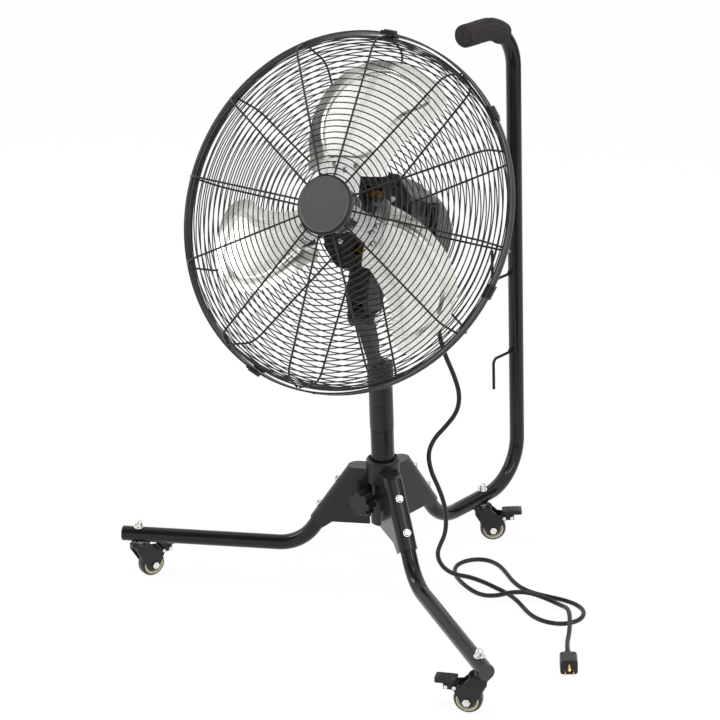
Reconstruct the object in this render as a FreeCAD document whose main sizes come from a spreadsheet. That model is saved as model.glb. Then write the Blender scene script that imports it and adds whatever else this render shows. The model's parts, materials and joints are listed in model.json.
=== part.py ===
"""Rolling pedestal fan on a three-legged caster stand with a push handle.

Frame: millimetres, +Z up, origin on the floor under the column.  The handle leg runs along +Y.
The fan head is drawn in a frame of its own: X to the right seen from the front, Y backwards along
the blade shaft, Z up, origin in the middle of the guard rim.  HEAD places that frame on the neck.
"""
import FreeCAD, Part
import math
import os
import re
import Sketcher

SIZES = {
    # fits
    "run_gap": 0.08,
    "slide_gap": 0.1,
    "air_gap": 0.3,
    "weld_gap": 0.05,
    # leg and handle tubes
    "tube_od": 25.4,
    "tube_wall": 1.5,
    "leg_height": 80.5,
    "leg_top_reach": 52.0,
    "leg_top_height": 210.5,
    "knee_reach": 143.0,
    "knee_radius": 75.0,
    "leg_end_reach": 449.0,
    "cap_face": 2.0,
    "cap_depth": 14.0,
    "caster_reach": 422.0,
    "rear_caster_reach": 254.0,
    "handle_reach": 353.4,
    "heel_radius": 80.0,
    "seam_height": 538.5,
    "spigot_length": 45.0,
    "handle_top": 892.5,
    "crown_radius": 75.0,
    "handle_end_reach": 226.0,
    "grip_od": 38.0,
    "grip_cap": 3.0,
    "grip_bend": 51.0,
    # cord hooks
    "hook_rod": 5.0,
    "hook_reach": 50.0,
    "hook_leg": 54.0,
    "hook_radius": 9.0,
    "lower_hook_height": 322.5,
    "upper_hook_height": 463.5,
    # base bracket
    "bracket_sheet": 2.3,
    "bracket_top": 228.5,
    "arm_length": 104.0,
    "arm_flange": 27.0,
    "web_reach": 85.0,
    "web_height": 130.5,
    "sleeve_od": 46.0,
    "sleeve_top": 204.5,
    "bolt_dia": 6.0,
    "bolt_first": 21.0,
    "bolt_pitch": 56.0,
    "bolt_head": 11.0,
    "bolt_head_high": 4.0,
    # collar and clamp knob
    "collar_od": 55.0,
    "collar_top": 243.5,
    "collar_lip": 24.0,
    "knob_height": 181.5,
    "knob_reach": 44.0,
    "knob_thick": 18.0,
    "knob_core": 30.0,
    "knob_lobe": 13.0,
    "knob_lobe_ring": 14.5,
    "stud_dia": 8.0,
    # column
    "column_od": 38.1,
    "column_wall": 1.8,
    "column_bottom": 133.5,
    "column_shoulder": 295.5,
    "column_spigot": 32.0,
    "spigot_top": 396.5,
    "sleeve_ring_od": 39.0,
    # neck
    "pan": 11.5,
    "tilt": 26.4,
    "socket_bottom": 340.7,
    "socket_od": 38.6,
    "socket_ring_od": 42.0,
    "socket_ring_bottom": 369.5,
    "socket_top": 411.5,
    "neck_width": 20.0,
    "neck_foot": 17.0,
    "neck_sink": 7.0,
    "neck_waist_height": 451.5,
    "neck_waist_reach": 27.0,
    "neck_waist_deep": 20.0,
    "pivot_reach": 45.0,
    "pivot_height": 503.5,
    "lug_dia": 34.0,
    "tilt_pin": 10.0,
    "tilt_plate": 9.0,
    "saddle_step": 4.0,
    "saddle_deep": 24.0,
    "saddle_nose": 12.0,
    "saddle_round": 6.0,
    "tilt_head": 18.0,
    "tilt_head_high": 6.0,
    # where the tilt pivot lies in the head's own frame
    "pivot_back": 125.3,
    "pivot_drop": 142.7,
    # motor
    "motor_front": 76.0,
    "bell_thick": 12.0,
    "shell_back": 160.0,
    "motor_half_wide": 67.0,
    "motor_half_high": 78.0,
    "motor_corner": 30.0,
    "shell_wall": 3.0,
    "stator_od": 118.0,
    "stator_bore": 69.0,
    "stator_front": 102.0,
    "stator_back": 140.0,
    "coil_ring": 47.0,
    "coil_thick": 15.0,
    "coil_slit": 2.4,
    "window_inner": 24.0,
    "window_outer": 52.0,
    "window_half": 17.0,
    "shaft_dia": 12.0,
    "shaft_front": -26.0,
    "bearing_od": 28.0,
    "bearing_long": 8.0,
    "cover_radius": 80.0,
    "cover_back": 235.0,
    "cover_wall": 2.5,
    "cover_round": 26.0,
    "screw_ring": 54.0,
    "screw_head_high": 3.0,
    "screw_bite": 6.0,
    "screw_crown": 1.6,
    "screw_slot": 1.2,
    "screw_slot_deep": 1.0,
    "screw_slot_long": 6.0,
    "screw_head": 9.0,
    "screw_shank": 5.0,
    # speed knob on the motor's right side
    "speed_back": 144.0,
    "speed_up": 38.0,
    "speed_dia": 25.0,
    "speed_skirt_high": 4.0,
    "speed_inset": 3.5,
    "speed_rib_wide": 4.0,
    "speed_rib_inset": 0.5,
    "speed_rib_rise": 1.0,
    "speed_high": 16.0,
    "speed_stem": 6.0,
    # fan
    "blade_tip": 242.0,
    "blade_thick": 1.5,
    "blade_mid": -6.0,
    "pitch_root": 30.0,
    "pitch_tip": 17.0,
    "camber": 6.0,
    "blade_first": 97.0,
    "spider_thick": 2.2,
    "spider_reach": 98.0,
    "spider_half": 21.0,
    "spider_disc": 34.0,
    "hub_dia": 30.0,
    "hub_front": -16.0,
    "hub_back": 20.0,
    "rivet_dia": 5.0,
    "rivet_head": 9.0,
    "rivet_head_high": 2.0,
    "rivet_stand": 4.0,
    "hub_nut_wide": 19.0,
    "hub_nut_high": 7.0,
    # guard
    "rim_radius": 278.0,
    "rim_sheet": 1.6,
    "rim_half": 9.0,
    "rim_bead": 1.3,
    "ring_wire": 1.9,
    "spoke_wire": 3.2,
    "ring_pitch": 8.7,
    "spoke_phase": 4.0,
    "front_hub": 40.0,
    "front_depth": 56.0,
    "front_shoulder": 41.0,
    "rear_hub": 64.0,
    "rear_depth": 71.7,
    "rear_shoulder": 57.0,
    "shoulder_inset": 16.0,
    "shoulder_bend": 24.0,
    "plate_outer": 78.0,
    "plate_inner": 60.0,
    "plate_thick": 2.2,
    "badge_radius": 45.5,
    "badge_thick": 8.0,
    "badge_bead": 4.0,
    "clip_wide": 22.0,
    "clip_sheet": 1.8,
    "clip_grip": 1.5,
    "clip_latch": 8.0,
    # casters
    "wheel_radius": 22.0,
    "wheel_wide": 20.0,
    "tyre_inner": 17.4,
    "trail": 18.0,
    "fork_top": 64.0,
    "race_dia": 33.0,
    "race_high": 5.5,
    "crown_long": 26.0,
    "crown_bottom": 55.5,
    "cheek_thick": 2.5,
    "cheek_gap": 1.4,
    "axle_dia": 6.0,
    "axle_head": 11.0,
    "axle_head_high": 4.0,
    "stem_dia": 8.0,
    "stem_flange": 16.0,
    "washer_dia": 18.0,
    "washer_thick": 1.5,
    "nut_wide": 13.0,
    "nut_high": 6.0,
    "dome_radius": 5.8,
    "pedal_long": 31.0,
    "pedal_wide": 21.0,
    "pedal_thick": 7.0,
    "pedal_corner": 3.0,
    "pedal_pin": 4.0,
    "pedal_angle": 47.86,
    "pedal_clear": 2.12,
    "cheek_inset": 3.5,
    "cheek_foot": 10.0,
    "pedal_ear": 5.0,
    "pedal_hub": 4.2,
    "pedal_rise": 5.0,
    "pedal_rivet_gap": 13.0,
    "pedal_rivet_head": 7.0,
    "pedal_rib": 1.4,
    "pedal_rib_pitch": 4.0,
    # cord and plug
    "cord_dia": 7.5,
    "cord_gap": 0.3,
    "gland_angle": -55.0,
    "gland_back": 212.0,
    "gland_long": 30.0,
    "gland_dia": 14.0,
    "gland_lip": 1.2,
    "gland_flange": 21.0,
    "gland_flange_high": 3.0,
    "gland_groove": 1.3,
    "gland_groove_first": 9.0,
    "gland_groove_pitch": 5.0,
    "plug_wide": 27.0,
    "plug_high": 24.0,
    "plug_long": 31.0,
    "relief_long": 20.0,
    "relief_dia": 13.0,
    "plug_round": 5.0,
    "plug_back_round": 3.0,
    "relief_lip": 1.0,
    "relief_groove": 1.0,
    "relief_groove_first": 3.0,
    "relief_groove_pitch": 4.0,
    "pin_seat": 6.0,
    "pin_thick": 1.5,
    "pin_wide": 6.3,
    "pin_drop": 6.0,
    "pin_spread": 12.7,
    "ground_dia": 4.8,
    "ground_rise": 5.9,
    "ground_extra": 3.0,
    "ground_round": 1.6,
    "pin_long": 17.0,
}

LEG_ANGLES = {"left": 210.0, "front": 330.0, "rear": 90.0}
CASTER_HEADINGS = {"left": 76.0, "front": 207.0, "rear": 42.0}
SPOKES = 12
RING_SIDES = 12
PEDAL_RIBS = 5
GLAND_GROOVES = 4
RELIEF_GROOVES = 4
BLADES = 3
CLIP_ANGLES = (86.0, 39.0, -18.0, -111.0)
RIM_SCREW_ANGLES = (129.0, -166.0, -88.0, -64.0)

# Blade outline as shares of the tip radius, across the blade and outwards, from the root's leading corner.
BLADE_OUTLINE = (
    (-0.19, 0.24), (-0.215, 0.33), (-0.226, 0.42), (-0.227, 0.51), (-0.218, 0.60), (-0.198, 0.68),
    (-0.168, 0.76), (-0.122, 0.835), (-0.054, 0.905), (0.035, 0.956), (0.13, 0.975), (0.23, 0.968),
    (0.33, 0.943), (0.42, 0.90), (0.497, 0.845), (0.543, 0.775), (0.545, 0.705), (0.505, 0.648),
    (0.435, 0.608), (0.365, 0.55), (0.30, 0.468), (0.25, 0.385), (0.217, 0.31), (0.20, 0.24),
)

# Cord route from the gland down to the floor, round its loose loops and on to the plug.
CORD_ROUTE = (
    (50.6, 67.5, 512.2), (63, 63, 497.5), (70, 61, 474.5), (73, 64, 445.5), (78, 70, 415.5),
    (87, 79, 383.5), (94, 85, 349.5), (91, 82, 319.5), (77, 69, 294.5), (62, 56, 273.5),
    (54, 49, 247.5), (56, 53, 215.5), (64, 63, 183.5), (69, 71, 151.5), (69, 74, 123.5),
    (67.5, 72.5, 99), (60, 68.5, 79), (53.2, 67.8, 61.8), (53.9, 71.2, 43.6), (62.1, 78.1, 28.5),
    (75.9, 86.9, 20), (95.5, 97, 18.5), (118, 107, 12), (140, 112, 6), (162, 111.5, 3.8),
    (184.5, 104.5, 3.8), (206.5, 93.5, 3.8), (229, 80, 3.8), (252.5, 70.5, 3.8), (279, 69.5, 3.8),
    (304.5, 81.5, 3.8), (316, 108.5, 3.8), (305, 136, 3.8), (280, 148.5, 3.8), (253.5, 148.5, 3.8),
    (228, 143, 3.8), (201, 138, 3.8), (174, 139.5, 3.8), (147, 150, 3.8), (118.5, 168.5, 3.8),
    (91, 184.5, 3.8), (62, 188.5, 3.8), (38.5, 171.5, 3.8), (32.5, 142.5, 3.8), (47.5, 116.5, 3.8),
    (74, 98.5, 3.8), (107, 84.5, 3.8), (135.5, 79.5, 3.8), (163, 84, 9), (187, 97, 19),
    (211, 112.5, 19), (238, 124, 11), (266, 122.5, 9), (290, 109, 17), (309, 89, 19), (326, 66.5, 17),
    (341, 43.5, 13), (354.4, 20.1, 12.7), (371.5, -1.1, 13),
)

# Lengths under this count as none.
TINY = 0.01

doc = FreeCAD.newDocument("pedestal_fan")
NODES = {}


def make_sheet():
    """The driving dimensions, one aliased cell each."""
    cells = doc.addObject("Spreadsheet::Sheet", "sizes")
    for row, (alias, number) in enumerate(SIZES.items(), start=1):
        cells.set("A%d" % row, alias)
        cells.set("B%d" % row, str(number))
        cells.setAlias("B%d" % row, alias)
    doc.recompute()
    return cells


sheet = make_sheet()


def size(expression):
    """The value of a sheet expression such as "tube_od / 2"."""
    return float(sheet.evalExpression(str(expression)))


def bound(thing, property_name, expression):
    """Tie a property to the sheet."""
    text = re.sub(r"[a-z][a-z_]*", lambda word: "sizes." + word.group(), str(expression))
    thing.setExpression(property_name, text)


def vec(x, y, z=0.0):
    return FreeCAD.Vector(x, y, z)


def turn(axis, degrees):
    return FreeCAD.Placement(vec(0, 0, 0), FreeCAD.Rotation(axis, degrees))


def shift(x, y, z):
    return FreeCAD.Placement(vec(x, y, z), FreeCAD.Rotation())


X_AXIS = vec(1, 0, 0)
Y_AXIS = vec(0, 1, 0)
Z_AXIS = vec(0, 0, 1)
STAND = FreeCAD.Placement()
NECK = turn(Z_AXIS, size("pan"))
HEAD = (NECK * shift(0, -size("pivot_reach"), size("pivot_height")) * turn(X_AXIS, -size("tilt"))
        * shift(0, -size("pivot_back"), size("pivot_drop")))


def node(label, thing, placement=None):
    """Give a finished piece its name and place."""
    thing.Label = label
    if placement is not None:
        thing.Placement = placement
    NODES[label] = thing
    return thing


def shaped(label, shape, placement=None):
    """A piece whose form no standard feature makes."""
    thing = doc.addObject("Part::Feature", label)
    thing.Shape = shape
    return node(label, thing, placement)


# Sketched pieces


def origin_plane(body, role):
    return [plane for plane in body.Origin.OriginFeatures if plane.Role == role][0]


def new_sketch(body, name, role, offset="0"):
    sketch = body.newObject("Sketcher::SketchObject", name)
    sketch.AttachmentSupport = [(origin_plane(body, role), "")]
    sketch.MapMode = "FlatFace"
    bound(sketch, "AttachmentOffset.Base.z", offset)
    return sketch


def bulge_point(first, last, radius, side):
    """Middle of the short arc between two points; side is 1 to the left of the way, -1 to the right."""
    middle = (first + last) * 0.5
    chord = last - first
    half = chord.Length / 2
    left = vec(-chord.y, chord.x).normalize()
    sagitta = radius - math.sqrt(max(radius * radius - half * half, 0.0))
    return middle + left * (side * sagitta)


def outline(sketch, corners):
    """A closed outline.  A corner is (x, y), or (x, y, radius, side) where an arc leads to the next."""
    places = [vec(size(corner[0]), size(corner[1])) for corner in corners]
    ends = []
    for here, corner in enumerate(corners):
        first = places[here]
        last = places[(here + 1) % len(corners)]
        if len(corner) == 2:
            edge = Part.LineSegment(first, last)
        else:
            edge = Part.Arc(first, bulge_point(first, last, size(corner[2]), corner[3]), last)
        index = sketch.addGeometry(edge, False)
        made = sketch.Geometry[index]
        forward = made.StartPoint.distanceToPoint(first) < made.EndPoint.distanceToPoint(first)
        ends.append((index, 1, 2) if forward else (index, 2, 1))
    for here, (index, begin, end) in enumerate(ends):
        following, follow_begin, _ = ends[(here + 1) % len(ends)]
        sketch.addConstraint(Sketcher.Constraint("Coincident", index, end, following, follow_begin))
    for (index, begin, _), corner, place in zip(ends, corners, places):
        for kind, expression, value in (("DistanceX", corner[0], place.x), ("DistanceY", corner[1], place.y)):
            rule = sketch.addConstraint(Sketcher.Constraint(kind, -1, 1, index, begin, value))
            bound(sketch, "Constraints[%d]" % rule, expression)
        if len(corner) > 2:
            rule = sketch.addConstraint(Sketcher.Constraint("Radius", index, size(corner[2])))
            bound(sketch, "Constraints[%d]" % rule, corner[2])


def circles(sketch, spots):
    """Round outlines, each (x, y, radius)."""
    for across, up, radius in spots:
        round_edge = Part.Circle(vec(size(across), size(up)), Z_AXIS, size(radius))
        index = sketch.addGeometry(round_edge, False)
        for kind, expression in (("DistanceX", across), ("DistanceY", up)):
            rule = sketch.addConstraint(Sketcher.Constraint(kind, -1, 1, index, 3, size(expression)))
            bound(sketch, "Constraints[%d]" % rule, expression)
        rule = sketch.addConstraint(Sketcher.Constraint("Radius", index, size(radius)))
        bound(sketch, "Constraints[%d]" % rule, radius)


def turned(label, axis, corners, placement=None):
    """A body turned about the Z or the Y axis from corners given as (radius, station)."""
    body = doc.addObject("PartDesign::Body", label)
    sketch = new_sketch(body, label + "_profile", "XZ_Plane" if axis == "Z" else "XY_Plane")
    outline(sketch, corners)
    feature = body.newObject("PartDesign::Revolution", label + "_turned")
    feature.Profile = sketch
    feature.ReferenceAxis = (sketch, ["V_Axis"])
    feature.Angle = 360
    return node(label, body, placement)


def padded(label, role, offset, length, corners=(), rounds=(), placement=None):
    """A body padded from an outline; the XZ plane pads towards -Y from its offset plane."""
    body = doc.addObject("PartDesign::Body", label)
    sketch = new_sketch(body, label + "_outline", role, offset)
    if corners:
        outline(sketch, corners)
    circles(sketch, rounds)
    feature = body.newObject("PartDesign::Pad", label + "_pad")
    feature.Profile = sketch
    bound(feature, "Length", length)
    return node(label, body, placement)


def pocketed(body, name, role, offset, length, corners=(), rounds=(), copies=1, about="Y_Axis"):
    """Cut a pocket, repeated evenly about one of the body's axes; the cut has to take material away."""
    doc.recompute()
    before = body.Shape.Volume
    sketch = new_sketch(body, name + "_outline", role, offset)
    if corners:
        outline(sketch, corners)
    circles(sketch, rounds)
    feature = body.newObject("PartDesign::Pocket", name)
    feature.Profile = sketch
    bound(feature, "Length", length)
    feature.Reversed = True
    doc.recompute()
    if copies > 1:
        pattern = body.newObject("PartDesign::PolarPattern", name + "_pattern")
        pattern.Originals = [feature]
        pattern.Axis = (origin_plane(body, about), [""])
        pattern.Angle = 360
        pattern.Occurrences = copies
        body.Tip = pattern
        doc.recompute()
    taken = before - body.Shape.Volume
    if taken <= 0:
        raise RuntimeError("%s cuts nothing" % name)


# Primitive and boolean pieces


def cylinder(name, radius, height, placement):
    """Cylinder along the placement's Z."""
    thing = doc.addObject("Part::Cylinder", name)
    bound(thing, "Radius", radius)
    bound(thing, "Height", height)
    thing.Placement = placement
    return thing


def block(name, length, width, height, placement):
    """Box from the placement's origin towards +X, +Y, +Z."""
    thing = doc.addObject("Part::Box", name)
    bound(thing, "Length", length)
    bound(thing, "Width", width)
    bound(thing, "Height", height)
    thing.Placement = placement
    return thing


def prism(name, sides, inradius, height, placement):
    """Hexagon bar and the like, measured across its flats."""
    thing = doc.addObject("Part::Prism", name)
    thing.Polygon = sides
    bound(thing, "Circumradius", "(%s) / %.6f" % (inradius, math.cos(math.pi / sides)))
    bound(thing, "Height", height)
    thing.Placement = placement
    return thing


def joined(name, pieces):
    thing = doc.addObject("Part::MultiFuse", name)
    thing.Shapes = pieces
    thing.Refine = True
    return thing


def without(name, base, tools):
    """The base with every tool cut out of it."""
    tool = tools[0] if len(tools) == 1 else joined(name + "_tools", tools)
    thing = doc.addObject("Part::Cut", name)
    thing.Base = base
    thing.Tool = tool
    return thing


def along(x, y, z, direction):
    """A placement at a point with its Z along a direction."""
    return FreeCAD.Placement(vec(x, y, z), FreeCAD.Rotation(Z_AXIS, direction))


# Bent tubes and rods


def bent_path(points, radii):
    """Straight runs joined by tangent arcs; one radius for each inner point."""
    edges = []
    start = points[0]
    for before, corner, after, radius in zip(points, points[1:], points[2:], radii):
        back = (before - corner).normalize()
        ahead = (after - corner).normalize()
        half_turn = (math.pi - back.getAngle(ahead)) / 2
        reach = radius * math.tan(half_turn)
        middle = (back + ahead).normalize() * (radius / math.cos(half_turn) - radius)
        edges.append(Part.LineSegment(start, corner + back * reach))
        edges.append(Part.Arc(corner + back * reach, corner + middle, corner + ahead * reach))
        start = corner + ahead * reach
    edges.append(Part.LineSegment(start, points[-1]))
    return Part.Wire([edge.toShape() for edge in edges])


def rod(path, radius):
    """A round solid along a path."""
    first = path.Edges[0]
    start = first.valueAt(first.FirstParameter)
    tangent = first.tangentAt(first.FirstParameter)
    ring = Part.Wire(Part.Circle(start, tangent, radius).toShape())
    return path.makePipeShell([ring], True, False)


def swept(name, path_thing, radius):
    """A sweep of a round section along a path object, its radius tied to the sheet."""
    first = path_thing.Shape.Edges[0]
    start = first.valueAt(first.FirstParameter)
    section = doc.addObject("Part::Circle", name + "_section")
    bound(section, "Radius", radius)
    section.Placement = along(start.x, start.y, start.z, first.tangentAt(first.FirstParameter))
    sweep = doc.addObject("Part::Sweep", name)
    sweep.Sections = [section]
    sweep.Spine = (path_thing, ["Edge%d" % (number + 1) for number in range(len(path_thing.Shape.Edges))])
    sweep.Solid = True
    sweep.Frenet = False
    return sweep


def hollow_tube(name, path):
    """The stand's round tube along a path."""
    path_thing = doc.addObject("Part::Feature", name + "_path")
    path_thing.Shape = path
    outside = swept(name + "_outside", path_thing, "tube_od / 2")
    inside = swept(name + "_inside", path_thing, "tube_od / 2 - tube_wall")
    return without(name + "_tube", outside, [inside])


# Stand

SLOPE = vec(size("knee_reach - leg_top_reach"), 0, size("leg_height - leg_top_height")).normalize()
RIDGE = vec(-SLOPE.z, 0, SLOPE.x)
LEG_TOP = vec(size("leg_top_reach"), 0, size("leg_top_height"))
KNEE = vec(size("knee_reach"), 0, size("leg_height"))
BOLT_STATIONS = (size("bolt_first"), size("bolt_first + bolt_pitch"))
BRACKET_HALF = size("tube_od / 2 + air_gap + bracket_sheet")


def bolt_place(station, lift):
    """On the leg's sloping axis, raised square to it towards the ridge, its Z pointing outwards."""
    spot = LEG_TOP + SLOPE * station + RIDGE * lift
    return along(spot.x, spot.y, spot.z, RIDGE)


def bolt_hole(name, station):
    depth = size("tube_od / 2 + arm_flange")
    return cylinder(name, "bolt_dia / 2 + slide_gap", 2 * depth, bolt_place(station, -depth))


def make_leg(label, side, path, stem_reach):
    """A leg tube with its bolt holes and the hole for the caster's stem."""
    tools = [bolt_hole("%s_bolt_hole_%d" % (label, number), station)
             for number, station in enumerate(BOLT_STATIONS)]
    below = size("leg_height - tube_od")
    tools.append(cylinder(label + "_stem_hole", "stem_dia / 2 + slide_gap", "tube_od * 2",
                          shift(stem_reach, 0, below)))
    leg = without(label, hollow_tube(label, path), tools)
    node(label, leg, turn(Z_AXIS, LEG_ANGLES[side]))


def make_legs():
    knee = size("knee_radius")
    level = size("leg_height")
    for side in ("left", "front"):
        end = vec(size("leg_end_reach"), 0, level)
        make_leg(side + "_leg", side, bent_path([LEG_TOP, KNEE, end], [knee]), size("caster_reach"))
    heel = vec(size("handle_reach"), 0, level)
    seam = vec(size("handle_reach"), 0, size("seam_height"))
    path = bent_path([LEG_TOP, KNEE, heel, seam], [knee, size("heel_radius")])
    make_leg("handle_leg", "rear", path, size("rear_caster_reach"))


def make_handle():
    """Upper handle tube with the spigot that enters the lower tube, and the foam grip on its end."""
    reach = size("handle_reach")
    top = size("handle_top")
    seam = vec(reach, 0, size("seam_height"))
    corner = vec(reach, 0, top)
    end = vec(size("handle_end_reach"), 0, top)
    crown = size("crown_radius")
    tube = hollow_tube("handle_upper", bent_path([seam, corner, end], [crown]))
    bore = "tube_od / 2 - tube_wall"
    spigot = cylinder("spigot_outside", bore + " - weld_gap", "spigot_length + tube_od",
                      shift(reach, 0, size("seam_height - spigot_length")))
    ring = without("spigot", spigot, [
        cylinder("spigot_bore", bore + " - tube_wall", "spigot_length + tube_od",
                 shift(reach, 0, size("seam_height - spigot_length")))])
    collar = without("spigot_shoulder", cylinder(
        "spigot_step", bore, "tube_od", shift(reach, 0, size("seam_height"))),
        [cylinder("spigot_step_bore", bore + " - tube_wall", "tube_od", shift(reach, 0, size("seam_height")))])
    upper = joined("handle_upper_joined", [tube, ring, collar])
    node("handle_upper", upper, turn(Z_AXIS, LEG_ANGLES["rear"]))

    centre = vec(reach - crown, 0, top - crown)
    start_angle = math.radians(90.0 - size("grip_bend"))
    start = centre + vec(math.cos(start_angle), 0, math.sin(start_angle)) * crown
    middle_angle = math.radians(90.0 - size("grip_bend") / 2)
    middle = centre + vec(math.cos(middle_angle), 0, math.sin(middle_angle)) * crown
    level = vec(centre.x, 0, top)
    sleeve_path = Part.Wire([Part.Arc(start, middle, level).toShape(), Part.LineSegment(level, end).toShape()])
    cap_end = end - X_AXIS * size("grip_cap")
    full_path = Part.Wire([Part.Arc(start, middle, level).toShape(),
                           Part.LineSegment(level, cap_end).toShape()])
    outside = rod(full_path, size("grip_od / 2"))
    end_edges = [edge for edge in outside.Edges if abs(edge.BoundBox.XMax - cap_end.x) < TINY]
    outside = outside.makeFillet(size("grip_cap"), end_edges)
    grip = outside.cut(rod(sleeve_path, size("tube_od / 2 + weld_gap")))
    shaped("handle_grip", grip, turn(Z_AXIS, LEG_ANGLES["rear"]))


def make_leg_bolts():
    """Hex bolts through the bracket arms and tubes, with washers' worth of head and a nut below."""
    solids = []
    half = size("tube_od / 2")
    under_head = BRACKET_HALF
    shank = size("bolt_dia / 2")
    head = size("bolt_head / 2")
    high = size("bolt_head_high")
    for angle in LEG_ANGLES.values():
        spin = turn(Z_AXIS, angle)
        for station in BOLT_STATIONS:
            bolt = Part.makeCylinder(shank, under_head + half + 2 * high)
            bolt.translate(vec(0, 0, -half - 2 * high))
            dome = Part.makeCone(head, head * 0.7, high).fuse(
                Part.makeCylinder(head * 1.15, 1.0, vec(0, 0, -1.0)))
            dome.translate(vec(0, 0, under_head + 1.0))
            nut = Part.makeCylinder(head, high).cut(Part.makeCylinder(shank, high))
            nut.translate(vec(0, 0, -half - high))
            bolt = bolt.fuse([dome, nut]).removeSplitter()
            bolt.Placement = spin * bolt_place(station, 0)
            solids.append(bolt)
    shaped("leg_bolts", Part.makeCompound(solids))


def make_end_caps():
    """Push-in plugs in the open ends of the two straight legs."""
    solids = []
    reach = size("leg_end_reach")
    level = size("leg_height")
    for side in ("left", "front"):
        face = Part.makeCylinder(size("tube_od / 2"), size("cap_face"), vec(0, 0, 0), X_AXIS)
        stem = Part.makeCylinder(size("tube_od / 2 - tube_wall - weld_gap"), size("cap_depth"),
                                 vec(-size("cap_depth"), 0, 0), X_AXIS)
        rim = [edge for edge in face.Edges if edge.BoundBox.XMin > size("cap_face") - TINY]
        cap = face.makeFillet(size("cap_face") * 0.7, rim).fuse(stem).removeSplitter()
        cap.Placement = turn(Z_AXIS, LEG_ANGLES[side]) * shift(reach, 0, level)
        solids.append(cap)
    shaped("leg_end_caps", Part.makeCompound(solids))


def make_cord_hooks():
    """Two bent rods on the handle tube, the upper one turned up and the lower one turned down."""
    solids = []
    half_rod = size("hook_rod / 2")
    foot = size("handle_reach - tube_od / 2") - size("weld_gap")
    tip = foot - size("hook_reach")
    for height, sense in ((size("lower_hook_height"), -1), (size("upper_hook_height"), 1)):
        points = [vec(foot, 0, height), vec(tip, 0, height), vec(tip, 0, height + sense * size("hook_leg"))]
        hook = rod(bent_path(points, [size("hook_radius")]), half_rod)
        saddle = Part.makeCylinder(half_rod * 2.2, half_rod * 1.2, vec(foot, 0, height), -X_AXIS)
        saddle = saddle.cut(Part.makeCylinder(size("tube_od / 2") + size("weld_gap"), 4 * size("hook_rod"),
                                              vec(size("handle_reach"), 0, height - 2 * size("hook_rod"))))
        hook = hook.cut(Part.makeCylinder(size("tube_od / 2") + size("weld_gap"), 4 * size("hook_rod"),
                                          vec(size("handle_reach"), 0, height - 2 * size("hook_rod"))))
        hook = hook.fuse(saddle).removeSplitter()
        hook.Placement = turn(Z_AXIS, LEG_ANGLES["rear"])
        solids.append(hook)
    shaped("cord_hooks", Part.makeCompound(solids))


def arm_outline(grow):
    """Side outline of one bracket arm in its leg's plane; grow moves the walls inwards for the inside."""
    ridge = LEG_TOP + RIDGE * (BRACKET_HALF - grow)
    top = size("bracket_top") - grow
    back = (ridge.z - top) / SLOPE.z
    shoulder = ridge - SLOPE * back
    overrun = size("arm_flange") if grow else 0.0
    nose = ridge + SLOPE * (size("arm_length") + overrun)
    toe = nose - RIDGE * (size("arm_flange") + overrun)
    inner = size("sleeve_od / 2") - 1.0
    low = size("web_height") - overrun
    web = vec(size("web_reach") - overrun, 0, low)
    return [vec(inner, 0, top), shoulder, nose, toe, web, vec(inner, 0, low)]


def arm_solid(grow, half, rounding):
    """One arm as a block with its ridge rounded over the tube."""
    points = arm_outline(grow)
    face = Part.Face(Part.makePolygon(points + points[:1]))
    solid = face.extrude(vec(0, 2 * half, 0))
    solid.translate(vec(0, -half, 0))
    shoulder = points[1]
    nose = points[2]
    ridges = []
    for edge in solid.Edges:
        ends = [vertex.Point for vertex in edge.Vertexes]
        spots = [vec(end.x, 0, end.z) for end in ends]
        on_ridge = all(min((spot - shoulder).Length, (spot - nose).Length) < TINY for spot in spots)
        if on_ridge and abs(ends[0].y - ends[1].y) < TINY:
            ridges.append(edge)
    return solid.makeFillet(rounding, ridges)


def make_bracket():
    """Three channel arms over the leg tops, their webs meeting at the sleeve that holds the column."""
    sheet_thick = size("bracket_sheet")
    inner_half = BRACKET_HALF - sheet_thick
    outer = arm_solid(0.0, BRACKET_HALF, BRACKET_HALF * 0.92)
    inner = arm_solid(sheet_thick, inner_half, size("tube_od / 2") * 0.96)
    channel = outer.cut(inner)
    arms = []
    holes = []
    depth = size("arm_flange")
    for angle in LEG_ANGLES.values():
        arm = channel.copy()
        arm.Placement = turn(Z_AXIS, angle)
        arms.append(arm)
        for station in BOLT_STATIONS:
            hole = Part.makeCylinder(size("bolt_dia / 2 + slide_gap"), 2 * depth)
            hole.Placement = turn(Z_AXIS, angle) * bolt_place(station, 0)
            holes.append(hole)
    low = size("web_height")
    tall = size("bracket_top") - low
    sleeve = Part.makeCylinder(size("sleeve_od / 2"), size("sleeve_top") - low, vec(0, 0, low))
    bracket = sleeve.fuse(arms)
    bore = Part.makeCylinder(size("column_od / 2 + slide_gap"), 2 * tall, vec(0, 0, low - tall / 2))
    seat = Part.makeCylinder(size("collar_od / 2 + air_gap"), tall, vec(0, 0, size("sleeve_top")))
    stud = Part.makeCylinder(size("stud_dia / 2 + run_gap"), size("knob_reach"),
                             vec(0, 0, size("knob_height")), -Y_AXIS)
    bracket = bracket.cut([bore, seat, stud] + holes).removeSplitter()
    shaped("base_bracket", bracket)


def make_collar():
    bore = "column_od / 2 + slide_gap"
    turned("column_collar", "Z", [
        (bore, "sleeve_top"),
        ("collar_od / 2", "sleeve_top"),
        ("collar_od / 2", "collar_top - 4", "4", -1),
        ("collar_od / 2 - 4", "collar_top"),
        ("collar_lip", "collar_top"),
        ("collar_lip", "collar_top - 3"),
        ("collar_lip - 2", "collar_top - 5"),
        (bore, "collar_top - 5"),
    ])


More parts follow.
